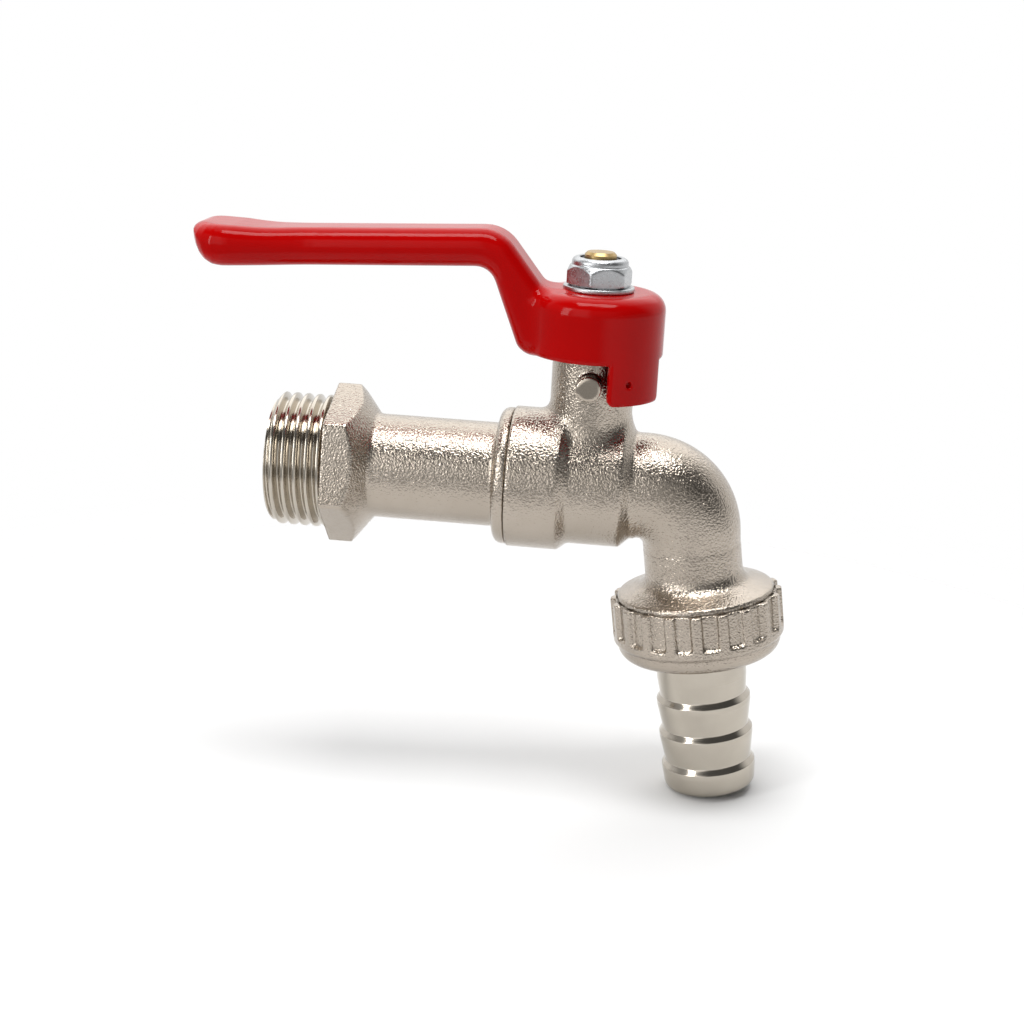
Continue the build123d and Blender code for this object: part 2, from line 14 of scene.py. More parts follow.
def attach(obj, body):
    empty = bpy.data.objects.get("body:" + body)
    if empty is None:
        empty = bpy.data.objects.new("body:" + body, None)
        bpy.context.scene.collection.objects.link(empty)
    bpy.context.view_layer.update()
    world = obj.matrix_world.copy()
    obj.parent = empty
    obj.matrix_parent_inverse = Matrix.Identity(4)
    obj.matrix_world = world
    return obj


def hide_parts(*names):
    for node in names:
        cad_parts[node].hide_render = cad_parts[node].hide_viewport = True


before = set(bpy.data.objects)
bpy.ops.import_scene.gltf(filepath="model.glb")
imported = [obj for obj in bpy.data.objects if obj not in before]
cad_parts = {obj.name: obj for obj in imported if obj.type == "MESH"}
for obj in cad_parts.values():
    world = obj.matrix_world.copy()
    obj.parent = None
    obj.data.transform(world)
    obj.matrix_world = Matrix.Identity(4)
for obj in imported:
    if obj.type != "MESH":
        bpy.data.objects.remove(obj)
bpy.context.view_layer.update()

MM = 0.001
Field = Callable[[np.ndarray], np.ndarray]
Link = Union["Value", float, int, tuple]

log = logging.getLogger("hose_tap")


class Body(Enum):
    """The bodies of the tap that move as one."""

    TAP = "tap_body"
    LEVER = "lever_set"
    TAIL = "tail_set"
    NUT = "union_nut"


class Slot(Enum):
    """The record's material slots."""

    SATIN = "satin_nickel"
    BRIGHT = "bright_nickel"
    RED = "red_coat"
    CHROME = "chrome"
    BRASS = "brass"
    BALL = "ball_chrome"
    PTFE = "ptfe"
    NYLON = "nylon"
    RUBBER = "rubber"


# Node trees


class Value:
    """A node socket on which arithmetic adds Math nodes."""

    def __init__(self, tree: "Tree", socket: bpy.types.NodeSocket) -> None:
        """Keep the tree and the socket that this value stands for."""
        self.tree = tree
        self.socket = socket

    def __add__(self, other: Link) -> "Value":
        """Sum."""
        return self.tree.math("ADD", self, other)

    __radd__ = __add__

    def __sub__(self, other: Link) -> "Value":
        """Difference."""
        return self.tree.math("SUBTRACT", self, other)

    def __rsub__(self, other: Link) -> "Value":
        """Difference, with the number first."""
        return self.tree.math("SUBTRACT", other, self)

    def __mul__(self, other: Link) -> "Value":
        """Product."""
        return self.tree.math("MULTIPLY", self, other)

    __rmul__ = __mul__

    def __truediv__(self, other: Link) -> "Value":
        """Quotient."""
        return self.tree.math("DIVIDE", self, other)

    def __rtruediv__(self, other: Link) -> "Value":
        """Quotient, with the number first."""
        return self.tree.math("DIVIDE", other, self)

    def __gt__(self, other: Link) -> "Value":
        """One where this value is the larger."""
        return self.tree.math("GREATER_THAN", self, other)

    def __abs__(self) -> "Value":
        """Size without its sign."""
        return self.tree.math("ABSOLUTE", self)


class Tree:
    """A node tree that is written as expressions."""

    def __init__(self, tree: bpy.types.NodeTree) -> None:
        """Wrap an empty tree."""
        self.tree = tree

    def node(
        self,
        kind: str,
        settings: Mapping[str, Any] | None = None,
        inputs: Mapping[str | int, Link] | None = None,
        output: str | int = 0,
    ) -> Value:
        """Add a node.

        Args:
            kind: Blender's name for the node's type.
            settings: Properties of the node, and "stops" for a ramp's (place, colour) pairs.
            inputs: Values or links of its sockets.
            output: The socket to return.

        Returns:
            The chosen output.
        """
        made = self.tree.nodes.new(kind)
        for key, setting in (settings or {}).items():
            if key == "stops":
                self._stops(made.color_ramp, setting)
            else:
                setattr(made, key, setting)
        for key, link in (inputs or {}).items():
            self.feed(made.inputs[key], link)
        return Value(self, made.outputs[output])

    @staticmethod
    def _stops(ramp: bpy.types.ColorRamp, stops: Sequence[tuple[float, tuple]]) -> None:
        """Set a ramp's stops."""
        while len(ramp.elements) < len(stops):
            ramp.elements.new(1.0)
        for element, (place, colour) in zip(ramp.elements, stops):
            element.position = place
            element.color = (*colour, 1.0)

    def feed(self, socket: bpy.types.NodeSocket, link: Link) -> None:
        """Link or set one input socket."""
        if isinstance(link, Value):
            self.tree.links.new(link.socket, socket)
        else:
            socket.default_value = link

    def math(self, operation: str, *terms: Link) -> Value:
        """Add a Math node.

        Args:
            operation: The node's operation.
            terms: Its values or links, in order.

        Returns:
            The result.
        """
        return self.node("ShaderNodeMath", {"operation": operation}, dict(enumerate(terms)))

    def step(self, value: Link, low: float, high: float) -> Value:
        """Rise smoothly from 0 at low to 1 at high."""
        return self.node(
            "ShaderNodeMapRange",
            {"interpolation_type": "SMOOTHSTEP"},
            {"Value": value, "From Min": low, "From Max": high},
        )


class Shader(Tree):
    """A surface material with one Principled shader."""

    def __init__(self, name: str, **constants: Link) -> None:
        """Make the material.

        Args:
            name: The material's name.
            constants: Principled sockets that are the same all over, with _ for a space.
        """
        self.material = bpy.data.materials.new(name)
        self.material.use_nodes = True
        super().__init__(self.material.node_tree)
        self.principled = self.tree.nodes["Principled BSDF"]
        for key, setting in constants.items():
            self.principled.inputs[key.replace("_", " ")].default_value = setting

    def vary(self, socket: str, link: Value) -> None:
        """Link what changes over the surface to a Principled socket."""
        self.feed(self.principled.inputs[socket], link)

    def place(self) -> Value:
        """Object coordinates, in millimetres."""
        spot = self.node("ShaderNodeTexCoord", output="Object")
        return self.node("ShaderNodeVectorMath", {"operation": "SCALE"}, {0: spot, "Scale": 1 / MM})

    def noise(self, spot: Value, scale: float, detail: float = 2.0, distortion: float = 0.0) -> Value:
        """Soft noise.

        Args:
            spot: Where it is read, in millimetres.
            scale: Bumps per millimetre.
            detail: Finer layers.
            distortion: How far it is pulled about.

        Returns:
            A value round one half.
        """
        return self.node(
            "ShaderNodeTexNoise",
            {},
            {"Vector": spot, "Scale": scale, "Detail": detail, "Distortion": distortion},
        )

    def bump(self, height: Value, depth: float, strength: float = 1.0) -> None:
        """Press a relief into the surface.

        Args:
            height: The relief, from 0 to 1.
            depth: What a height of 1 is, in millimetres.
            strength: How much of it shows.
        """
        self.vary(
            "Normal",
            self.node("ShaderNodeBump", {}, {"Height": height, "Distance": depth * MM, "Strength": strength}),
        )

    def between(self, factor: Value, low: tuple, high: tuple) -> Value:
        """Mix two colours."""
        return self.node(
            "ShaderNodeMix",
            {"data_type": "RGBA"},
            {"Factor": factor, 6: (*low, 1.0), 7: (*high, 1.0)},
            output=2,
        )


# Finishes


@dataclass(frozen=True)
class SatinNickel:
    """Nickel plate over a blasted forging: soft shine with a fine rolling grain."""

    name: str = "satin_nickel_plate"
    light: tuple = (0.47, 0.415, 0.355)
    dull: tuple = (0.39, 0.34, 0.283)
    roughness: float = 0.15
    grain_depth: float = 0.14
    pin_face: tuple = (40.1, -9.3, 16.5)

    def material(self) -> bpy.types.Material:
        """Build the material."""
        shader = Shader(self.name, Metallic=1.0)
        spot = shader.place()
        peel = shader.noise(spot, 3.0, 0.5, 0.6)
        sand = shader.noise(spot, 5.0, 1.0)
        cloud = shader.noise(spot, 0.14, 2.0)
        shader.vary("Base Color", shader.between(cloud, self.dull, self.light))
        shader.vary("Roughness", self.roughness + 0.10 * sand + 0.06 * (cloud - 0.5))
        off = shader.node("ShaderNodeVectorMath", {"operation": "DISTANCE"}, {0: spot, 1: self.pin_face}, "Value")
        shader.bump((0.8 * peel + 0.2 * sand) * shader.step(off, 1.5, 2.1), self.grain_depth)
        return shader.material


@dataclass(frozen=True)
class BrightNickel:
    """Nickel plate over turned brass, with faint rings from the lathe tool."""

    name: str = "bright_nickel_plate"
    tint: tuple = (0.52, 0.475, 0.41)
    shade: tuple = (0.44, 0.4, 0.34)
    roughness: float = 0.13
    ring_depth: float = 0.006

    def material(self) -> bpy.types.Material:
        """Build the material."""
        shader = Shader(self.name, Metallic=1.0)
        spot = shader.place()
        level = shader.node("ShaderNodeAttribute", {"attribute_name": "level"}, output="Fac")
        line = shader.node("ShaderNodeCombineXYZ", {}, {"Z": level})
        rings = shader.noise(line, 3.2, 3.0)
        cloud = shader.noise(spot, 0.3, 2.0)
        shader.vary("Base Color", shader.between(cloud, self.shade, self.tint))
        shader.vary("Roughness", self.roughness + 0.10 * (rings - 0.5) + 0.05 * cloud)
        shader.bump(rings, self.ring_depth)
        return shader.material


@dataclass(frozen=True)
class RedCoat:
    """Thick glossy coating that has flowed round every edge of the lever."""

    name: str = "red_lever_coat"
    deep: tuple = (0.34, 0.0005, 0.0005)
    bright: tuple = (0.40, 0.0008, 0.0008)
    flow_depth: float = 0.05

    def material(self) -> bpy.types.Material:
        """Build the material."""
        shader = Shader(self.name, Specular_IOR_Level=0.11)
        spot = shader.place()
        flow = shader.noise(spot, 0.22, 2.0)
        haze = shader.noise(spot, 1.6, 2.0)
        shader.vary("Base Color", shader.between(flow, self.deep, self.bright))
        shader.vary("Roughness", 0.06 + 0.05 * haze)
        shader.bump(flow, self.flow_depth)
        return shader.material


@dataclass(frozen=True)
class Chrome:
    """Zinc and chrome plate on a steel nut and washer."""

    name: str = "plated_steel"
    light: tuple = (0.52, 0.53, 0.54)
    dull: tuple = (0.36, 0.37, 0.38)

    def material(self) -> bpy.types.Material:
        """Build the material."""
        shader = Shader(self.name, Metallic=1.0)
        spot = shader.place()
        cloud = shader.noise(spot, 1.2, 3.0)
        fine = shader.noise(spot, 9.0, 2.0)
        shader.vary("Base Color", shader.between(cloud, self.dull, self.light))
        shader.vary("Roughness", 0.2 + 0.16 * cloud)
        shader.bump(fine, 0.03)
        return shader.material


@dataclass(frozen=True)
class PlainFinish:
    """A finish of one colour with slight mottling, for the inner pieces."""

    name: str
    tint: tuple
    metallic: float
    roughness: float
    grain: float = 2.0
    depth: float = 0.01

    def material(self) -> bpy.types.Material:
        """Build the material."""
        shader = Shader(self.name, Metallic=self.metallic)
        mottle = shader.noise(shader.place(), self.grain, 3.0)
        shade = tuple(0.8 * part for part in self.tint)
        shader.vary("Base Color", shader.between(mottle, shade, self.tint))
        shader.vary("Roughness", self.roughness + 0.12 * (mottle - 0.5))
        shader.bump(mottle, self.depth)
        return shader.material


class Finishes:
    """The finish of each material slot, built once."""

    def __init__(self) -> None:
        """Build every material."""
        finishes = {
            Slot.SATIN: SatinNickel(),
            Slot.BRIGHT: BrightNickel(),
            Slot.RED: RedCoat(),
            Slot.CHROME: Chrome(),
            Slot.BRASS: PlainFinish("turned_brass", (0.44, 0.31, 0.14), 1.0, 0.36),
            Slot.BALL: PlainFinish("polished_ball", (0.74, 0.74, 0.75), 1.0, 0.10, 0.6, 0.002),
            Slot.PTFE: PlainFinish("white_ptfe", (0.82, 0.82, 0.79), 0.0, 0.42),
            Slot.NYLON: PlainFinish("dark_nylon", (0.03, 0.03, 0.045), 0.0, 0.38),
            Slot.RUBBER: PlainFinish("black_rubber", (0.022, 0.022, 0.022), 0.0, 0.60),
        }
        self.materials = {slot: finish.material() for slot, finish in finishes.items()}

    def of(self, slot: Slot) -> bpy.types.Material:
        """Material of a slot."""
        return self.materials[slot]


# Outlines and meshes


@dataclass(frozen=True)
class Corner:
    """A corner of an outline, with the radius that rounds it."""

    across: float
    level: float
    fillet: float = 0.0


def outline(corners: Sequence[Corner], steps: int = 8) -> np.ndarray:
    """Round the corners of a closed outline.

    Args:
        corners: Its corners in order.
        steps: Pieces in each rounded corner.

    Returns:
        The outline's points, one row each.
    """
    points = []
    spots = [np.array((corner.across, corner.level), float) for corner in corners]
    for index, corner in enumerate(corners):
        here = spots[index]
        back = spots[index - 1] - here
        ahead = spots[(index + 1) % len(spots)] - here
        back_length, ahead_length = np.linalg.norm(back), np.linalg.norm(ahead)
        back, ahead = back / back_length, ahead / ahead_length
        half = 0.5 * math.acos(float(np.clip(back @ ahead, -1, 1)))
        if corner.fillet <= 0 or half > 1.55:
            points.append(here)
            continue
        reach = min(corner.fillet / math.tan(half), 0.98 * back_length, 0.98 * ahead_length)
        middle = back + ahead
        centre = here + middle / np.linalg.norm(middle) * reach / math.cos(half)
        first, last = here + back * reach - centre, here + ahead * reach - centre
        sweep = math.pi - 2 * half
        for step in range(steps + 1):
            share = step / steps
            turn = math.sin((1 - share) * sweep) * first + math.sin(share * sweep) * last
            points.append(centre + turn / math.sin(sweep))
    return np.array(points)


def dense(points: np.ndarray, spacing: float) -> np.ndarray:
    """Split the long sides of a closed outline.

    Args:
        points: The outline.
        spacing: The longest side allowed.

    Returns:
        The outline with the added points.
    """
    rows = []
    for here, after in zip(points, np.roll(points, -1, axis=0)):
        count = max(1, math.ceil(np.linalg.norm(after - here) / spacing))
        rows.extend(here + (after - here) * step / count for step in range(count))
    return np.array(rows)


def plain_mesh(name: str, points: np.ndarray, quads: np.ndarray) -> bpy.types.Mesh:
    """Make a smooth-shaded mesh.

    Args:
        name: The mesh's name.
        points: Vertices in millimetres.
        quads: Four vertex numbers for each face.

    Returns:
        The mesh, in metres.
    """
    mesh = bpy.data.meshes.new(name)
    mesh.from_pydata((points * MM).tolist(), [], quads.tolist())
    mesh.shade_smooth()
    return mesh


def turned_mesh(name: str, profile: np.ndarray, segments: int) -> bpy.types.Mesh:
    """Turn a closed profile about the local Z axis.

    Args:
        name: The mesh's name.
        profile: Rows of (radius, level), clear of the axis.
        segments: Steps round the axis.

    Returns:
        The mesh, with each vertex's level kept as an attribute.
    """
    ahead = np.roll(profile, -1, axis=0)
    if np.sum(profile[:, 0] * ahead[:, 1] - ahead[:, 0] * profile[:, 1]) < 0:
        profile = profile[::-1]
    rows = len(profile)
    angle = np.arange(segments) * 2 * math.pi / segments
    radius, level = profile[:, :1], profile[:, 1:]
    points = np.stack(
        [radius * np.cos(angle), radius * np.sin(angle), level + 0 * angle], axis=2
    ).reshape(-1, 3)
    row, column = np.meshgrid(np.arange(rows), np.arange(segments), indexing="ij")
    next_row, next_column = (row + 1) % rows, (column + 1) % segments
    quads = np.stack(
        [
            row * segments + column,
            row * segments + next_column,
            next_row * segments + next_column,
            next_row * segments + column,
        ],
        axis=2,
    ).reshape(-1, 4)
    mesh = plain_mesh(name, points, quads)
    mesh.set_sharp_from_angle(angle=math.radians(50))
    kept = mesh.attributes.new("level", "FLOAT", "POINT")
    kept.data.foreach_set("value", points[:, 2].astype(np.float32))
    return mesh


# Distance fields, negative inside, in millimetres


def outline_distance(across: np.ndarray, level: np.ndarray, points: np.ndarray) -> np.ndarray:
    """Signed distance to a closed outline.

    Args:
        across: First coordinate of each point.
        level: Second coordinate of each point.
        points: The outline.

    Returns:
        The distance, negative inside.
    """
    nearest = np.full(across.shape, np.inf)
    inside = np.zeros(across.shape, bool)
    for (ax, ay), (bx, by) in zip(points, np.roll(points, -1, axis=0)):
        run, rise = bx - ax, by - ay
        off_x, off_y = across - ax, level - ay
        share = np.clip((off_x * run + off_y * rise) / (run * run + rise * rise), 0, 1)
        nearest = np.minimum(nearest, (off_x - run * share) ** 2 + (off_y - rise * share) ** 2)
        if rise:
            inside ^= ((ay > level) != (by > level)) & (off_x < run * off_y / rise)
    return np.where(inside, -1.0, 1.0) * np.sqrt(nearest)


def blend(first: np.ndarray, second: np.ndarray, width: float) -> np.ndarray:
    """Join two fields with a fillet of about this width."""
    share = np.clip(width - np.abs(first - second), 0, None) / width
    return np.minimum(first, second) - share * share * width / 4


def cut(first: np.ndarray, second: np.ndarray, width: float = 0.0) -> np.ndarray:
    """Take the second field out of the first, with an edge that is eased by this width."""
    return np.maximum(first, -second) if width <= 0 else -blend(-first, second, width)


def meet(first: np.ndarray, second: np.ndarray, radius: float) -> np.ndarray:
    """Keep what two fields share, with edges of this radius."""
    outer = np.hypot(np.maximum(first + radius, 0), np.maximum(second + radius, 0))
    return np.minimum(np.maximum(first, second) + radius, 0) + outer - radius


def hexagon(first: np.ndarray, second: np.ndarray, flats: float, turn: float) -> np.ndarray:
    """Distance to a hexagon.

    Args:
        first: First coordinate in its plane.
        second: Second coordinate in its plane.
        flats: Its size across flats.
        turn: Angle of one of its corners, in degrees.

    Returns:
        The distance to the nearest flat.
    """
    sides = [math.radians(turn + 30 + 60 * side) for side in range(3)]
    return np.max([np.abs(first * math.cos(a) + second * math.sin(a)) for a in sides], axis=0) - flats / 2


class SurfaceNet:
    """Turns a distance field into an even mesh of quads."""

    CORNERS = np.array([(i, j, k) for i in (0, 1) for j in (0, 1) for k in (0, 1)])

    def __init__(self, distance: Field, low: Sequence[float], high: Sequence[float], cell: float) -> None:
        """Keep the field and its grid.

        Args:
            distance: The field.
            low: Lowest corner of the grid.
            high: Highest corner of the grid.
            cell: Size of a grid cell.
        """
        self.distance = distance
        self.low = np.array(low, float)
        self.cell = cell
        self.counts = np.ceil((np.array(high, float) - self.low) / cell).astype(int) + 1

    def _grid(self) -> np.ndarray:
        """Sample the field, slab by slab."""
        across, along, up = (self.low[i] + self.cell * np.arange(self.counts[i]) for i in range(3))
        grid = np.empty(self.counts)
        for index, x in enumerate(across):
            y, z = np.meshgrid(along, up, indexing="ij")
            spots = np.stack([np.full(y.size, x), y.ravel(), z.ravel()], axis=1)
            grid[index] = self.distance(spots).reshape(y.shape)
        return grid

    def _vertices(self, grid: np.ndarray, cells: np.ndarray) -> np.ndarray:
        """One vertex for each crossed cell, at the middle of its crossings."""
        values = np.stack([grid[tuple((cells + corner).T)] for corner in self.CORNERS], axis=1)
        total = np.zeros((len(cells), 3))
        count = np.zeros((len(cells), 1))
        for a in range(8):
            for b in range(a + 1, 8):
                if np.abs(self.CORNERS[a] - self.CORNERS[b]).sum() != 1:
                    continue
                crossed = (values[:, a] < 0) != (values[:, b] < 0)
                gap = np.where(crossed, values[:, a] - values[:, b], 1.0)
                share = np.where(crossed, values[:, a] / gap, 0.0)[:, None]
                spot = self.CORNERS[a] + share * (self.CORNERS[b] - self.CORNERS[a])
                total += crossed[:, None] * spot
                count += crossed[:, None]
        return self.low + self.cell * (cells + total / count)

    def _quads(self, grid: np.ndarray, number: np.ndarray) -> np.ndarray:
        """A quad round each grid edge that the surface crosses."""
        inside = grid < 0
        found = []
        for axis in range(3):
            one, two = (axis + 1) % 3, (axis + 2) % 3
            first = np.take(inside, range(self.counts[axis] - 1), axis)
            second = np.take(inside, range(1, self.counts[axis]), axis)
            edge = np.argwhere(first != second)
            edge = edge[(edge[:, one] > 0) & (edge[:, two] > 0)]
            edge = edge[(edge[:, one] < self.counts[one] - 1) & (edge[:, two] < self.counts[two] - 1)]
            step_one, step_two = np.eye(3, dtype=int)[one], np.eye(3, dtype=int)[two]
            ring = [edge - step_one - step_two, edge - step_two, edge, edge - step_one]
            quad = np.stack([number[tuple(cell.T)] for cell in ring], axis=1)
            outward = first[tuple(edge.T)]
            quad[~outward] = quad[~outward][:, ::-1]
            found.append(quad)
        return np.concatenate(found)

    def _settle(self, points: np.ndarray, quads: np.ndarray, rounds: int) -> np.ndarray:
        """Even the vertices out and bring them back onto the surface."""
        ends = np.concatenate([quads[:, (side, (side + 1) % 4)] for side in range(4)])
        nudge = 0.15 * self.cell
        for _ in range(rounds):
            total = np.zeros_like(points)
            np.add.at(total, ends[:, 0], points[ends[:, 1]])
            np.add.at(total, ends[:, 1], points[ends[:, 0]])
            count = np.bincount(ends.ravel(), minlength=len(points))[:, None]
            points = points + 0.5 * (total / count - points)
            slope = np.stack(
                [
                    (self.distance(points + nudge * axis) - self.distance(points - nudge * axis)) / (2 * nudge)
                    for axis in np.eye(3)
                ],
                axis=1,
            )
            pull = self.distance(points) / np.maximum((slope**2).sum(axis=1), 0.25)
            points = points - np.clip(pull, -self.cell, self.cell)[:, None] * slope
        return points

    def mesh(self, name: str, rounds: int = 3) -> bpy.types.Mesh:
        """Build the mesh.

        Args:
            name: The mesh's name.
            rounds: How often the vertices are evened out.

        Returns:
            The mesh.
        """
        grid = self._grid()
        inside = grid < 0
        held = sum(
            inside[tuple(slice(c, n - 1 + c) for c, n in zip(corner, self.counts))].astype(int)
            for corner in self.CORNERS
        )
        cells = np.argwhere((held > 0) & (held < 8))
        number = np.full(held.shape, -1)
        number[tuple(cells.T)] = np.arange(len(cells))
        quads = self._quads(grid, number)
        points = self._settle(self._vertices(grid, cells), quads, rounds)
        return plain_mesh(name, points, quads)


# Geometry Nodes rules


class Rule(Tree):
    """A Geometry Nodes tree that moves the vertices of a turned mesh towards its axis."""

    def __init__(self, name: str, inputs: Sequence[str]) -> None:
        """Make the tree.

        Args:
            name: The tree's name.
            inputs: Names of its sizes.
        """
        group = bpy.data.node_groups.new(name, "GeometryNodeTree")
        super().__init__(group)
        face = group.interface
        face.new_socket("Geometry", in_out="INPUT", socket_type="NodeSocketGeometry")
        face.new_socket("Material", in_out="INPUT", socket_type="NodeSocketMaterial")
        for size in inputs:
            face.new_socket(size, in_out="INPUT", socket_type="NodeSocketFloat")
        face.new_socket("Geometry", in_out="OUTPUT", socket_type="NodeSocketGeometry")
        self.entry = group.nodes.new("NodeGroupInput")
        spot = self.node("GeometryNodeInputPosition")
        split = self.node("ShaderNodeSeparateXYZ", {}, {0: spot}).socket.node
        self.across, self.along, height = (Value(self, split.outputs[i]) for i in range(3))
        self.level = height / MM
        reach = self.math("SQRT", self.across * self.across + self.along * self.along)
        self.radius = reach / MM
        self.angle = self.math("ARCTAN2", self.along, self.across)

    def size(self, name: str) -> Value:
        """One of the tree's named inputs."""
        return Value(self, self.entry.outputs[name])

    def sink(self, depth: Value) -> None:
        """Move each vertex towards the axis and close the tree.

        Args:
            depth: How far, in millimetres.
        """
        shift = 0 - depth / self.radius
        offset = self.node("ShaderNodeCombineXYZ", {}, {0: self.across * shift, 1: self.along * shift})
        moved = self.node("GeometryNodeSetPosition", {}, {"Geometry": self.size("Geometry"), "Offset": offset})
        whole = self.node("GeometryNodeRealizeInstances", {}, {0: moved})
        dressed = self.node(
            "GeometryNodeSetMaterial", {}, {"Geometry": whole, "Material": self.size("Material")}
        )
        leave = self.tree.nodes.new("NodeGroupOutput")
        self.feed(leave.inputs[0], dressed)

    def apply(
        self, mesh: bpy.types.Mesh, sizes: Mapping[str, float], material: bpy.types.Material
    ) -> bpy.types.Mesh:
        """Run the tree on a mesh.

        Args:
            mesh: The turned mesh.
            sizes: Value of each named input.
            material: What the result is made of.

        Returns:
            A plain mesh.
        """
        blank = bpy.data.objects.new(mesh.name + "_blank", mesh)
        bpy.context.scene.collection.objects.link(blank)
        modifier = blank.modifiers.new(self.tree.name, "NODES")
        modifier.node_group = self.tree
        for item in self.tree.interface.items_tree:
            if item.in_out == "INPUT" and item.name in sizes:
                modifier[item.identifier] = float(sizes[item.name])
            elif item.in_out == "INPUT" and item.name == "Material":
                modifier[item.identifier] = material
        made = bpy.data.meshes.new_from_object(blank.evaluated_get(bpy.context.evaluated_depsgraph_get()))
        blank.modifiers.remove(modifier)
        bpy.data.objects.remove(blank)
        made.name = mesh.name
        return made


def screw_thread_rule() -> Rule:
    """Helical groove of a pipe thread, cut into a plain turned sleeve."""
    rule = Rule("screw_thread", ("Pitch", "Depth", "Major Radius", "Start", "Bore Radius"))
    lead = (rule.level - rule.size("Start")) / rule.size("Pitch") - rule.angle / (2 * math.pi)
    saw = rule.math("FRACT", lead)
    flank = abs(2 * saw - 1)
    crest = rule.step(flank, 0.06, 0.86)
    thread = rule.size("Major Radius") - rule.size("Depth") * (1 - crest)
    outside = rule.radius > rule.size("Bore Radius")
    rule.sink(outside * rule.math("MAXIMUM", rule.radius - thread, 0.0))
    return rule


def pocket_ring_rule() -> Rule:
    """Ring of shallow grip pockets, open at the top and rounded at the foot."""
    names = ("Count", "Phase", "Width", "Depth", "Foot", "Corner", "Edge", "Radius", "Inner Radius")
    rule = Rule("pocket_ring", names)
    sector = 2 * math.pi / rule.size("Count")
    local = rule.math("WRAP", rule.angle - rule.size("Phase"), 0.5 * sector, -0.5 * sector)
    corner = rule.size("Corner")
    side = abs(local) * rule.size("Radius") - 0.5 * rule.size("Width") + corner
    foot = rule.level - rule.size("Foot") + corner
    side_out, foot_out = rule.math("MAXIMUM", side, 0.0), rule.math("MAXIMUM", foot, 0.0)
    round_out = rule.math("SQRT", side_out * side_out + foot_out * foot_out)
    deep_in = rule.math("MINIMUM", rule.math("MAXIMUM", side, foot), 0.0)
    edge = (round_out + deep_in - corner) / rule.size("Edge")
    pocket = 1 - rule.step(edge, -0.5, 0.5)
    outside = rule.radius > rule.size("Inner Radius")
    rule.sink(outside * pocket * rule.size("Depth"))
    return rule


# Places in the shared frame


@dataclass(frozen=True)
class Layout:
    """Axes that the sub-assemblies share, in millimetres."""

    stem_reach: float = 40.1
    elbow_reach: float = 7.86
    bend_radius: float = 9.2
    outlet_tilt: float = 8.5

    @property
    def tilt(self) -> float:
        """Outlet tilt, in radians."""
        return math.radians(self.outlet_tilt)

    @property
    def hinge(self) -> tuple[float, float]:
        """Centre of the elbow's bend, as x and z."""
        return self.stem_reach + self.elbow_reach, -self.bend_radius

    @property
    def outlet_x(self) -> float:
        """Where the outlet axis crosses the inlet axis' level."""
        end_x = self.hinge[0] + self.bend_radius * math.cos(self.tilt)
        end_z = self.bend_radius * (math.sin(self.tilt) - 1)
        return end_x + end_z * math.tan(self.tilt)

    def stem(self) -> Matrix:
        """Local Z up the stem."""
        return Matrix.Translation((self.stem_reach * MM, 0, 0))

    def inlet(self) -> Matrix:
        """Local Z along the inlet axis, away from the inlet."""
        return Matrix(((0, 0, 1, 0), (1, 0, 0, 0), (0, 1, 0, 0), (0, 0, 0, 1)))

    def outlet(self) -> Matrix:
        """Local Z down the outlet axis."""
        sine, cosine = math.sin(self.tilt), math.cos(self.tilt)
        turn = Matrix(((0, cosine, sine, 0), (1, 0, 0, 0), (0, sine, -cosine, 0), (0, 0, 0, 1)))
        return Matrix.Translation((self.outlet_x * MM, 0, 0)) @ turn

    def down_outlet(self, spots: np.ndarray) -> tuple[np.ndarray, np.ndarray]:
        """Radius from the outlet axis and level along it, of each point."""
        x, y, z = spots[:, 0] - self.outlet_x, spots[:, 1], spots[:, 2]
        level = x * math.sin(self.tilt) - z * math.cos(self.tilt)
        side = x * math.cos(self.tilt) + z * math.sin(self.tilt)
        return np.hypot(side, y), level


LAYOUT = Layout()


@dataclass
class Piece:
    """A finished mesh, and what it stands for."""

    name: str
    mesh: bpy.types.Mesh
    body: Body
    slot: Slot
    nodes: tuple[str, ...]

    def place(self, finishes: Finishes) -> bpy.types.Object:
        """Put the piece in the scene.

        Args:
            finishes: The materials.

        Returns:
            The piece's object.
        """
        made = bpy.data.objects.new(self.name, self.mesh)
        bpy.context.scene.collection.objects.link(made)
        self.mesh.materials.clear()
        self.mesh.materials.append(finishes.of(self.slot))
        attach(made, self.body.value)
        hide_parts(*self.nodes)
        log.info("%s: %d faces, on %s", self.name, len(self.mesh.polygons), self.body.value)
        return made


# Sub-assemblies


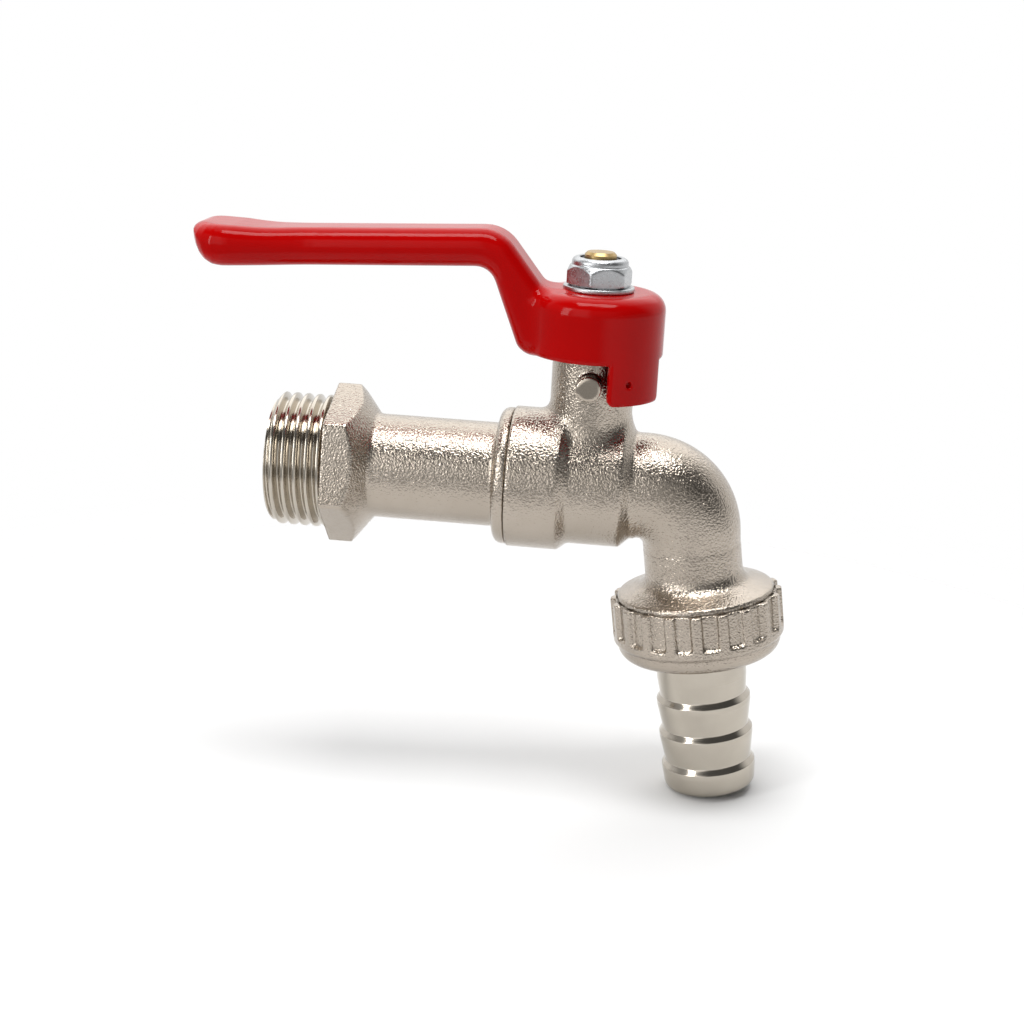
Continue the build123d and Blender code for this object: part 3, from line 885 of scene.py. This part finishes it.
@dataclass
class ValveBody:
    """Forged body: socket, ball chamber, neck, stop bosses, elbow, flange and outlet thread."""

    socket_reach: float = 11.8
    socket_d: float = 22.0
    barrel_d: float = 19.6
    neck_d: float = 12.7
    neck_top: float = 22.5
    boss_d: float = 3.8
    boss_height: float = 16.5
    boss_reach: float = 9.3
    elbow_start_d: float = 16.6
    spout_d: float = 15.3
    heel_swell: float = 0.45
    flange_d: float = 24.5
    outlet_thread_d: float = 20.955
    waterway_d: float = 9.0
    cell: float = 0.33

    def __post_init__(self) -> None:
        """Work out the outlines."""
        stem = LAYOUT.stem_reach
        seam = stem - self.socket_reach
        self.barrel = outline(
            [
                Corner(-5, seam),
                Corner(self.socket_d / 2, seam, 0.35),
                Corner(self.socket_d / 2, stem - 3.9, 0.6),
                Corner(self.barrel_d / 2, stem - 2.4, 0.7),
                Corner(self.barrel_d / 2, stem + 5.7, 0.6),
                Corner(self.elbow_start_d / 2, stem + 7.2, 0.7),
                Corner(self.elbow_start_d / 2, stem + LAYOUT.elbow_reach),
                Corner(-5, stem + LAYOUT.elbow_reach),
            ],
            5,
        )
        self.spout = outline(
            [
                Corner(-5, 9.0),
                Corner(self.spout_d / 2, 9.0),
                Corner(self.spout_d / 2, 14.4, 2.4),
                Corner(self.flange_d / 2, 16.0, 0.35),
                Corner(self.flange_d / 2, 17.4, 0.2),
                Corner(self.outlet_thread_d / 2, 17.4),
                Corner(self.outlet_thread_d / 2, 21.5, 0.4),
                Corner(-5, 21.5),
            ],
            5,
        )
        self.boss = outline(
            [
                Corner(-2, -self.boss_reach),
                Corner(self.boss_d / 2, -self.boss_reach, 0.3),
                Corner(self.boss_d / 2, self.boss_reach, 0.3),
                Corner(-2, self.boss_reach),
            ],
            3,
        )
        self.chamber = np.array(
            [
                (-5, seam - 1), (9.1, seam - 1), (9.1, 35.9), (6.8, 35.9), (6.8, 43.41),
                (6.65, 43.41), (6.65, 45.61), (4.5, 45.61), (4.5, 48.0), (-5, 48.0),
            ]
        )
        self.stem_bore = np.array(
            [
                (-3, 0), (3.9, 0), (3.9, 9.35), (3.05, 9.35), (3.05, 12.2), (4.6, 12.2),
                (4.6, 17.2), (5.0, 17.2), (5.0, 23.0), (-3, 23.0),
            ]
        )

    def _elbow(self, spots: np.ndarray, radius: float | None) -> np.ndarray:
        """Distance to the bend, of its own outside or of a plain waterway radius."""
        hinge_x, hinge_z = LAYOUT.hinge
        x, z = spots[:, 0] - hinge_x, spots[:, 2] - hinge_z
        full = math.pi / 2 - LAYOUT.tilt
        turn = np.clip(np.arctan2(x, z), 0, full)
        share = turn / full
        swell = 0 if radius else self.heel_swell * np.sin(math.pi * share)
        middle = LAYOUT.bend_radius + swell
        wall = radius or (self.elbow_start_d + (self.spout_d - self.elbow_start_d) * share + swell) / 2
        off_x, off_z = x - middle * np.sin(turn), z - middle * np.cos(turn)
        return np.sqrt(off_x**2 + spots[:, 1] ** 2 + off_z**2) - wall

    def distance(self, spots: np.ndarray) -> np.ndarray:
        """Signed distance to the forging."""
        x, y, z = spots.T
        round_stem = np.hypot(x - LAYOUT.stem_reach, y)
        round_inlet = np.hypot(y, z)
        across, level = LAYOUT.down_outlet(spots)
        barrel = outline_distance(round_inlet, x, self.barrel)
        neck = np.maximum(np.maximum(round_stem - self.neck_d / 2, z - self.neck_top), -z)
        boss = outline_distance(np.hypot(x - LAYOUT.stem_reach, z - self.boss_height), y, self.boss)
        spout = outline_distance(across, level, self.spout)
        whole = np.minimum(np.minimum(barrel, self._elbow(spots, None)), spout)
        whole = blend(whole, neck, 2.2)
        whole = blend(whole, boss, 0.35)
        whole = cut(whole, outline_distance(round_inlet, x, self.chamber))
        whole = cut(whole, self._elbow(spots, self.waterway_d / 2))
        pipe = np.maximum(across - self.waterway_d / 2, 8.0 - level)
        whole = cut(whole, pipe)
        return cut(whole, outline_distance(round_stem, z, self.stem_bore))

    def build(self) -> list[Piece]:
        """Mesh the forging."""
        net = SurfaceNet(self.distance, (27.6, -13.0, -24.2), (72.2, 13.0, 23.2), self.cell)
        return [Piece("forged_body", net.mesh("forged_body"), Body.TAP, Slot.SATIN, ("valve_body",))]


@dataclass
class InletTailpiece:
    """Screwed-in inlet: pipe thread, hexagon, tube and collar."""

    thread_d: float = 20.955
    thread_length: float = 9.2
    pitch: float = 1.814
    thread_depth: float = 1.1
    thread_start: float = 0.35
    hexagon_flats: float = 21.9
    hexagon_corner_d: float = 25.0
    hexagon_length: float = 3.6
    hexagon_back: float = 38.0
    hexagon_turn: float = 19.0
    tube_d: float = 16.3
    collar_d: float = 21.4
    bore_d: float = 12.0
    cell: float = 0.27

    def __post_init__(self) -> None:
        """Work out the outlines."""
        tube = self.tube_d / 2
        corner = self.hexagon_corner_d / 2
        foot = self.hexagon_length + (corner - tube) * math.tan(math.radians(self.hexagon_back))
        self.blank = outline(
            [
                Corner(-5, 0),
                Corner(corner, 0, 0.2),
                Corner(corner, self.hexagon_length, 0.2),
                Corner(tube, foot, 0.9),
                Corner(tube, 15),
                Corner(-5, 15),
            ],
            4,
        )
        self.shaft = outline(
            [
                Corner(-5, 12),
                Corner(tube, 12),
                Corner(tube, 26.2, 0.5),
                Corner(self.collar_d / 2, 26.2, 1.4),
                Corner(self.collar_d / 2, 28.25, 0.25),
                Corner(9.0, 28.25),
                Corner(9.0, 35.85),
                Corner(-5, 35.85),
            ],
            5,
        )
        self.bore = np.array(
            [
                (-5, -2), (self.bore_d / 2, -2), (self.bore_d / 2, 28.3), (4.5, 34.59),
                (6.65, 34.59), (6.65, 37), (-5, 37),
            ]
        )

    def distance(self, spots: np.ndarray) -> np.ndarray:
        """Signed distance to the hexagon, tube and collar."""
        x, y, z = spots.T
        ring = np.hypot(y, z)
        blank = outline_distance(ring, x, self.blank)
        flats = hexagon(y, z, self.hexagon_flats, self.hexagon_turn)
        whole = np.minimum(meet(blank, flats, 0.15), outline_distance(ring, x, self.shaft))
        return cut(whole, outline_distance(ring, x, self.bore))

    def build(self, finishes: Finishes) -> list[Piece]:
        """Mesh the piece and its thread.

        Args:
            finishes: The materials.

        Returns:
            The two pieces.
        """
        net = SurfaceNet(self.distance, (-0.7, -13.0, -13.0), (36.6, 13.0, 13.0), self.cell)
        shaft = net.mesh("tailpiece")
        radius, end = self.thread_d / 2, -self.thread_length
        profile = outline(
            [
                Corner(self.bore_d / 2, 0.3),
                Corner(self.bore_d / 2, end, 0.2),
                Corner(radius - 1.0, end, 0.15),
                Corner(radius, end + 1.0),
                Corner(radius, 0.3),
            ],
            3,
        )
        sleeve = turned_mesh("inlet_thread", dense(profile, 0.11), 180)
        sizes = {
            "Pitch": self.pitch,
            "Depth": self.thread_depth,
            "Major Radius": radius,
            "Start": self.thread_start,
            "Bore Radius": self.bore_d / 2 + 1.5,
        }
        thread = screw_thread_rule().apply(sleeve, sizes, finishes.of(Slot.BRIGHT))
        thread.transform(LAYOUT.inlet())
        return [
            Piece("tailpiece", shaft, Body.TAP, Slot.SATIN, ("inlet_tailpiece",)),
            Piece("inlet_thread", thread, Body.TAP, Slot.BRIGHT, ("inlet_tailpiece",)),
        ]


@dataclass
class Lever:
    """Coated lever: hub, stop tab, cranked arm and paddle."""

    hub_d: float = 20.8
    hub_top: float = 30.1
    hub_edge: float = 2.6
    hub_ceiling: float = 27.1
    skirt_bottom: float = 20.3
    skirt_inner_d: float = 16.8
    tab_bottom: float = 14.15
    tab_start: float = -72.7
    tab_end: float = -13.5
    arm_width: float = 10.6
    arm_edge: float = 2.75
    thickness: float = 5.7
    droop: float = 3.4
    bend_height: float = 38.78
    bend_reach: float = 14.9
    paddle_reach: float = 63.1
    paddle_start: float = 43.0
    nose_start: float = 55.6
    flare_end: float = 60.0
    lift_start: float = 49.0
    lift_end: float = 63.0
    paddle_width: float = 15.6
    paddle_rise: float = 1.05
    paddle_swell: float = 0.9
    brow: float = 1.2
    chin: float = 5.5
    cell: float = 0.3

    @staticmethod
    def _ease(reach: float, start: float, end: float) -> float:
        """Smooth rise from 0 to 1 between two reaches."""
        share = min(1.0, max(0.0, (reach - start) / (end - start)))
        return share * share * (3 - 2 * share)

    def _top(self, reach: float) -> float:
        """Height of the arm's top at this reach."""
        return self.bend_height - math.tan(math.radians(self.droop)) * (reach - self.bend_reach)

    def __post_init__(self) -> None:
        """Work out the outlines."""
        tilt = math.radians(self.droop)
        top, under, near, far = [], [], [], []
        for reach in [*np.linspace(self.paddle_start, self.nose_start, 9), self.paddle_reach]:
            flare = self._ease(reach, self.paddle_start, self.flare_end)
            lift = self._ease(reach, self.lift_start, self.lift_end)
            height = self._top(reach) + self.paddle_rise * lift
            thick = self.thickness + self.paddle_swell * lift
            half = (self.arm_width + (self.paddle_width - self.arm_width) * flare) / 2
            top.append(Corner(reach, height))
            under.append(Corner(reach - thick * math.sin(tilt), height - thick * math.cos(tilt)))
            near.append(Corner(reach, -half))
            far.append(Corner(reach, half))
        top[-1] = Corner(top[-1].across, top[-1].level, self.brow)
        under[-1] = Corner(under[-1].across, under[-1].level, self.chin)
        knee = 16.35
        self.side = outline(
            [
                Corner(0, self.hub_top - 0.4),
                Corner(7.65, self.hub_top - 0.4, 3.0),
                Corner(self.bend_reach, self.bend_height, 6.0),
                *top,
                *reversed(under),
                Corner(knee, self._top(knee) - self.thickness / math.cos(tilt), 3.2),
                Corner(11.35, self.skirt_bottom, 2.2),
                Corner(0, self.skirt_bottom),
            ],
            6,
        )
        wide, end = self.paddle_width / 2, self.paddle_reach
        self.plan = outline(
            [
                Corner(-2, -self.arm_width / 2),
                *near[:-1],
                Corner(end, -wide, 6.0),
                Corner(end, wide, 4.0),
                *reversed(far[:-1]),
                Corner(-2, self.arm_width / 2),
            ],
            6,
        )
        self.hub = outline(
            [
                Corner(-5, self.skirt_bottom),
                Corner(self.hub_d / 2, self.skirt_bottom, 0.7),
                Corner(self.hub_d / 2, self.hub_top, self.hub_edge),
                Corner(-5, self.hub_top),
            ]
        )

    def distance(self, spots: np.ndarray) -> np.ndarray:
        """Signed distance to the lever."""
        x, y, z = spots.T
        reach = LAYOUT.stem_reach - x
        ring = np.hypot(reach, y)
        arm = meet(
            outline_distance(reach, z, self.side), outline_distance(reach, y, self.plan), self.arm_edge
        )
        whole = blend(arm, outline_distance(ring, z, self.hub), 1.5)
        middle = math.radians((self.tab_start + self.tab_end) / 2)
        half = math.radians((self.tab_end - self.tab_start) / 2)
        angle = np.arctan2(y, -reach) - middle
        wedge = meet((np.abs(angle) - half) * ring, self.tab_bottom - z, 1.0)
        mean = (self.hub_d + self.skirt_inner_d) / 4
        wall = meet(np.abs(ring - mean) - (self.hub_d - self.skirt_inner_d) / 4, z - 24.0, 0.1)
        whole = np.minimum(whole, meet(wedge, wall, 0.5))
        hollow = np.maximum(ring - self.skirt_inner_d / 2, z - self.hub_ceiling)
        whole = cut(whole, hollow, 0.6)
        keyhole = np.maximum(ring - 3.05, np.abs(reach) - 2.25)
        whole = cut(whole, keyhole)
        turn = math.radians(-55)
        along = -reach * math.cos(turn) + y * math.sin(turn)
        aside = reach * math.sin(turn) + y * math.cos(turn)
        pip = np.maximum(np.hypot(aside, z - 17.5) - 0.45, self.hub_d / 2 - 0.7 - along)
        return cut(whole, pip, 0.15)

    def build(self) -> list[Piece]:
        """Mesh the lever."""
        net = SurfaceNet(self.distance, (-22.7, -11.2, 13.8), (51.5, 11.2, 39.6), self.cell)
        return [Piece("coated_lever", net.mesh("coated_lever"), Body.LEVER, Slot.RED, ("lever",))]


@dataclass
class LeverNut:
    """Plain washer and hexagon lock nut on top of the lever."""

    base: float = 30.1
    washer_d: float = 10.86
    washer_thickness: float = 0.75
    flats: float = 9.0
    corner_d: float = 10.3
    nut_height: float = 3.0
    nut_turn: float = 20.0
    collar_d: float = 8.6
    collar_height: float = 1.25
    hole_d: float = 5.0
    mouth_d: float = 6.3
    crown_chamfer: float = 0.85
    cell: float = 0.11

    def __post_init__(self) -> None:
        """Work out the outlines."""
        self.seat = self.base + self.washer_thickness
        self.crown = self.seat + self.nut_height
        self.top = self.crown + self.collar_height
        chamfer = (self.corner_d - self.flats) / 2
        self.blank = outline(
            [
                Corner(-2, self.seat),
                Corner(self.flats / 2, self.seat),
                Corner(self.corner_d / 2, self.seat + chamfer / 2, 0.2),
                Corner(self.corner_d / 2, self.crown - self.crown_chamfer, 0.2),
                Corner(self.flats / 2, self.crown),
                Corner(-2, self.crown),
            ],
            3,
        )
        self.collar = outline(
            [
                Corner(-2, self.crown - 0.5),
                Corner(self.collar_d / 2, self.crown - 0.5),
                Corner(self.collar_d / 2, self.top, 0.8),
                Corner(-2, self.top),
            ]
        )

    def distance(self, spots: np.ndarray) -> np.ndarray:
        """Signed distance to the nut."""
        x, y, z = spots.T
        ring = np.hypot(x - LAYOUT.stem_reach, y)
        flats = hexagon(x - LAYOUT.stem_reach, y, self.flats, self.nut_turn)
        whole = meet(outline_distance(ring, z, self.blank), flats, 0.12)
        whole = blend(whole, outline_distance(ring, z, self.collar), 0.25)
        whole = cut(whole, ring - self.hole_d / 2)
        return cut(whole, np.maximum(ring - self.mouth_d / 2, self.top - 1.25 - z), 0.1)

    def build(self) -> list[Piece]:
        """Mesh the washer and the nut."""
        edge = 0.22
        washer = outline(
            [
                Corner(self.hole_d / 2, self.base),
                Corner(self.washer_d / 2, self.base, edge),
                Corner(self.washer_d / 2, self.seat, edge),
                Corner(self.hole_d / 2, self.seat),
            ],
            4,
        )
        ring = turned_mesh("lever_washer_ring", dense(washer, 0.6), 128)
        ring.transform(LAYOUT.stem())
        reach = self.corner_d / 2 + 0.4
        low = (LAYOUT.stem_reach - reach, -reach, self.seat - 0.4)
        high = (LAYOUT.stem_reach + reach, reach, self.top + 0.4)
        nut = SurfaceNet(self.distance, low, high, self.cell).mesh("lock_nut_hexagon")
        return [
            Piece("lever_washer_ring", ring, Body.LEVER, Slot.CHROME, ("lever_washer",)),
            Piece("lock_nut_hexagon", nut, Body.LEVER, Slot.CHROME, ("lock_nut",)),
        ]


@dataclass
class Union:
    """Ribbed union nut and the barbed hose tail that it holds."""

    nut_d: float = 26.9
    nut_top: float = 16.7
    rib_end: float = 23.3
    band_d: float = 25.7
    nut_bottom: float = 26.4
    pockets: int = 20
    phase: float = -10.5
    pocket_width: float = 2.5
    pocket_depth: float = 0.7
    pocket_foot: float = 22.2
    mouth_d: float = 25.0
    thread_d: float = 21.155
    lip: float = 24.2
    tail_hole_d: float = 15.3
    tail_top: float = 22.6
    tail_flange_d: float = 19.4
    tail_bore_d: float = 10.0
    shank_d: float = 14.2
    neck_d: float = 13.7
    neck_start: float = 30.3
    barbs: int = 3
    pitch: float = 5.55
    first_crest: float = 33.9
    crest_d: float = 14.9
    land: float = 0.8
    shoulder: float = 0.8
    tip_d: float = 14.3
    tail_end: float = 49.0

    def _nut_profile(self) -> np.ndarray:
        """Half section of the nut."""
        return outline(
            [
                Corner(self.mouth_d / 2, self.nut_top, 0.1),
                Corner(self.nut_d / 2, self.nut_top, 0.35),
                Corner(self.nut_d / 2, self.rib_end, 0.4),
                Corner(self.band_d / 2, self.rib_end + 0.7, 0.4),
                Corner(self.band_d / 2, self.nut_bottom, 2.2),
                Corner(self.tail_hole_d / 2, self.nut_bottom, 0.15),
                Corner(self.tail_hole_d / 2, self.lip),
                Corner(self.thread_d / 2, self.lip),
                Corner(self.thread_d / 2, 17.5),
                Corner(self.mouth_d / 2, 17.5),
            ],
            6,
        )

    def _tail_profile(self) -> np.ndarray:
        """Half section of the hose tail."""
        rows = [
            Corner(self.tail_bore_d / 2, self.tail_top),
            Corner(self.tail_flange_d / 2, self.tail_top, 0.2),
            Corner(self.tail_flange_d / 2, self.lip, 0.2),
            Corner(self.shank_d / 2, self.lip),
            Corner(self.shank_d / 2, self.neck_start, 3.0),
        ]
        for barb in range(self.barbs):
            crest = self.first_crest + barb * self.pitch
            rows.append(Corner(self.neck_d / 2, crest - self.shoulder, 0.25))
            rows.append(Corner(self.crest_d / 2, crest, 0.18))
            rows.append(Corner(self.crest_d / 2, crest + self.land, 0.5))
        rows.append(Corner(self.tip_d / 2, self.tail_end, 1.3))
        rows.append(Corner(self.tail_bore_d / 2, self.tail_end, 0.3))
        return outline(rows, 5)

    def build(self, finishes: Finishes) -> list[Piece]:
        """Mesh the nut and the tail.

        Args:
            finishes: The materials.

        Returns:
            The two pieces.
        """
        blank = turned_mesh("coupling_ring", dense(self._nut_profile(), 0.19), 480)
        sizes = {
            "Count": self.pockets,
            "Phase": math.radians(self.phase),
            "Width": self.pocket_width,
            "Depth": self.pocket_depth,
            "Foot": self.pocket_foot,
            "Corner": 0.5,
            "Edge": 0.5,
            "Radius": self.nut_d / 2,
            "Inner Radius": self.mouth_d / 2 + 0.2,
        }
        nut = pocket_ring_rule().apply(blank, sizes, finishes.of(Slot.SATIN))
        tail = turned_mesh("barbed_tail", dense(self._tail_profile(), 0.8), 192)
        for mesh in (nut, tail):
            mesh.transform(LAYOUT.outlet())
        return [
            Piece("coupling_ring", nut, Body.NUT, Slot.SATIN, ("coupling_nut",)),
            Piece("barbed_tail", tail, Body.TAIL, Slot.BRIGHT, ("hose_tail",)),
        ]


@dataclass
class InnerPieces:
    """CAD pieces that stay as they are and only get their finish."""

    slots: dict[str, Slot] = field(
        default_factory=lambda: {
            "stem": Slot.BRASS,
            "gland_nut": Slot.BRASS,
            "ball": Slot.BALL,
            "upstream_seat": Slot.PTFE,
            "downstream_seat": Slot.PTFE,
            "thrust_washer": Slot.PTFE,
            "lower_packing": Slot.PTFE,
            "upper_packing": Slot.PTFE,
            "nylon_insert": Slot.NYLON,
            "tail_gasket": Slot.RUBBER,
        }
    )

    def dress(self, finishes: Finishes) -> None:
        """Give each piece its material."""
        for name, slot in self.slots.items():
            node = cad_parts[name]
            node.data.materials.clear()
            node.data.materials.append(finishes.of(slot))
            log.info("%s: CAD piece, %s", name, slot.value)


# Studio


@dataclass
class Studio:
    """Camera, floor, lamps and backdrop."""

    azimuth: float = 5.988
    elevation: float = 16.061
    roll: float = 2.994
    distance: float = 291.975
    target: tuple = (28.681, 0.0, -5.941)
    focal_px: float = 1853.216
    image_px: float = 1024.0
    room: float = 0.4
    reflector: float = 1.6
    gap: float = 0.1
    horizon: float = 0.35
    backdrop: float = 2.0
    ground: float = 0.42
    right_ground: float = 1.15
    pool: float = 190.0
    pool_shift: float = -45.0

    def _axes(self) -> tuple[Vector, Vector, Vector]:
        """Right, up and back directions of the camera."""
        turn, rise, roll = (math.radians(a) for a in (self.azimuth, self.elevation, self.roll))
        back = Vector((math.sin(turn) * math.cos(rise), -math.cos(turn) * math.cos(rise), math.sin(rise)))
        right = Vector((math.cos(turn), math.sin(turn), 0))
        up = back.cross(right)
        return (
            math.cos(roll) * right + math.sin(roll) * up,
            math.cos(roll) * up - math.sin(roll) * right,
            back,
        )

    def camera(self) -> None:
        """Set the camera at the photograph's viewing angle."""
        right, up, back = self._axes()
        spot = (Vector(self.target) + back * self.distance) * MM
        data = bpy.data.cameras.new("camera")
        data.sensor_width = 36.0
        data.lens = 36.0 * self.focal_px / self.image_px
        data.clip_start, data.clip_end = 0.01, 20.0
        made = bpy.data.objects.new("camera", data)
        bpy.context.scene.collection.objects.link(made)
        made.matrix_world = Matrix(
            [(right[i], up[i], back[i], spot[i]) for i in range(3)] + [(0, 0, 0, 1)]
        )
        bpy.context.scene.camera = made

    def floor(self, tail: bpy.types.Mesh) -> None:
        """Lay a pale floor under the hose tail, level in the picture, that fades into the white.

        Args:
            tail: The mesh that stands on it.
        """
        right, up, back = self._axes()
        rise = math.radians(self.elevation)
        normal = math.cos(rise) * up + math.sin(rise) * back
        depth = right.cross(normal)
        size = 0.8
        spots = np.empty(3 * len(tail.vertices), np.float32)
        tail.vertices.foreach_get("co", spots)
        spots = spots.reshape(-1, 3)
        foot = Vector(spots[np.argmin(spots @ np.array(normal))])
        points = [foot + size * (a * right + b * depth) for a, b in ((-1, 1), (1, 1), (1, -1), (-1, -1))]
        mesh = bpy.data.meshes.new("floor")
        mesh.from_pydata(points, [], [(0, 1, 2, 3)])
        made = bpy.data.objects.new("floor", mesh)
        bpy.context.scene.collection.objects.link(made)
        shader = Shader("pale_floor", Base_Color=(0.77, 0.77, 0.77, 1.0), Roughness=0.9, Specular_IOR_Level=0.1)
        middle = tuple(foot / MM + self.pool_shift * right)
        off = shader.node("ShaderNodeVectorMath", {"operation": "DISTANCE"}, {0: shader.place(), 1: middle}, "Value")
        shader.vary("Alpha", 1 - shader.step(off, 0.45 * self.pool, self.pool))
        mesh.materials.append(shader.material)

    def lamp(
        self, name: str, spot: Sequence[float], aim: Sequence[float], size: tuple[float, float], power: float
    ) -> None:
        """Hang a softbox.

        Args:
            name: Its name.
            spot: Where it hangs, in millimetres.
            aim: What it points at, in millimetres.
            size: Its width and height, in millimetres.
            power: Its power, in watts.
        """
        data = bpy.data.lights.new(name, "AREA")
        data.shape = "RECTANGLE"
        data.size, data.size_y = (side * MM for side in size)
        data.energy = power
        made = bpy.data.objects.new(name, data)
        bpy.context.scene.collection.objects.link(made)
        made.location = Vector(spot) * MM
        made.rotation_mode = "QUATERNION"
        made.rotation_quaternion = (Vector(aim) - Vector(spot)).to_track_quat("-Z", "Y")

    def world(self) -> None:
        """White backdrop for the camera, and a soft studio round the tap for the light."""
        world = bpy.data.worlds.new("studio")
        world.use_nodes = True
        bpy.context.scene.world = world
        tree = Tree(world.node_tree)
        background = world.node_tree.nodes["Background"]
        rays = world.node_tree.nodes.new("ShaderNodeLightPath")
        eye, glossy, through = (Value(tree, rays.outputs[name]) for name in ("Is Camera Ray", "Is Glossy Ray", "Is Transmission Ray"))
        way = tree.node("ShaderNodeTexCoord", output="Generated")
        split = tree.node("ShaderNodeSeparateXYZ", {}, {0: way}).socket.node
        across, depth, height = (Value(tree, output) for output in split.outputs)
        card = tree.step(across, -0.8, -0.5) * (1 - tree.step(across, -0.28, -0.04))
        front = self.room + (self.reflector - self.room) * card
        unlit = tree.step(height, 0.56, 0.72) * (1 - tree.step(height, 0.9, 0.97))
        front = front + (self.gap - front) * unlit
        back = self.horizon + (self.backdrop - self.horizon) * tree.step(height, 0.1, 0.5)
        room = front + (back - front) * tree.step(depth, -0.1, 0.5)
        flag = tree.step(across, 0.4, 0.75) * tree.step(height, 0.1, 0.35)
        room = room + (self.gap - room) * flag
        ground = self.ground + (self.right_ground - self.ground) * tree.step(across, 0.1, 0.5)
        room = ground + (room - ground) * tree.step(height, -0.12, 0.02)
        tree.feed(background.inputs["Color"], (1.0, 1.0, 1.0, 1.0))
        seen = eye + (glossy + through) * tree.step(depth, -0.1, 0.5)
        tree.feed(background.inputs["Strength"], tree.math("MAXIMUM", seen, room))

    def build(self, tail: bpy.types.Mesh) -> None:
        """Set the whole stage.

        Args:
            tail: The mesh that the tap stands on.
        """
        self.camera()
        self.floor(tail)
        self.world()
        self.lamp("strip_softbox", (-315, -289, 150), (30, 0, 0), (110, 330), 0.8)
        self.lamp("top_softbox", (35, -70, 430), (35, 0, 0), (310, 150), 1.4)
        bpy.context.scene.view_settings.view_transform = "Standard"


def main() -> None:
    """Build the tap piece by piece, log each piece's face count and set the stage."""
    logging.basicConfig(level=logging.INFO, format="%(name)s: %(message)s")
    finishes = Finishes()
    pieces = [
        *ValveBody().build(),
        *InletTailpiece().build(finishes),
        *Lever().build(),
        *LeverNut().build(),
        *Union().build(finishes),
    ]
    for piece in pieces:
        piece.place(finishes)
    InnerPieces().dress(finishes)
    Studio().build(pieces[-1].mesh)


if __name__ == "__main__":
    main()
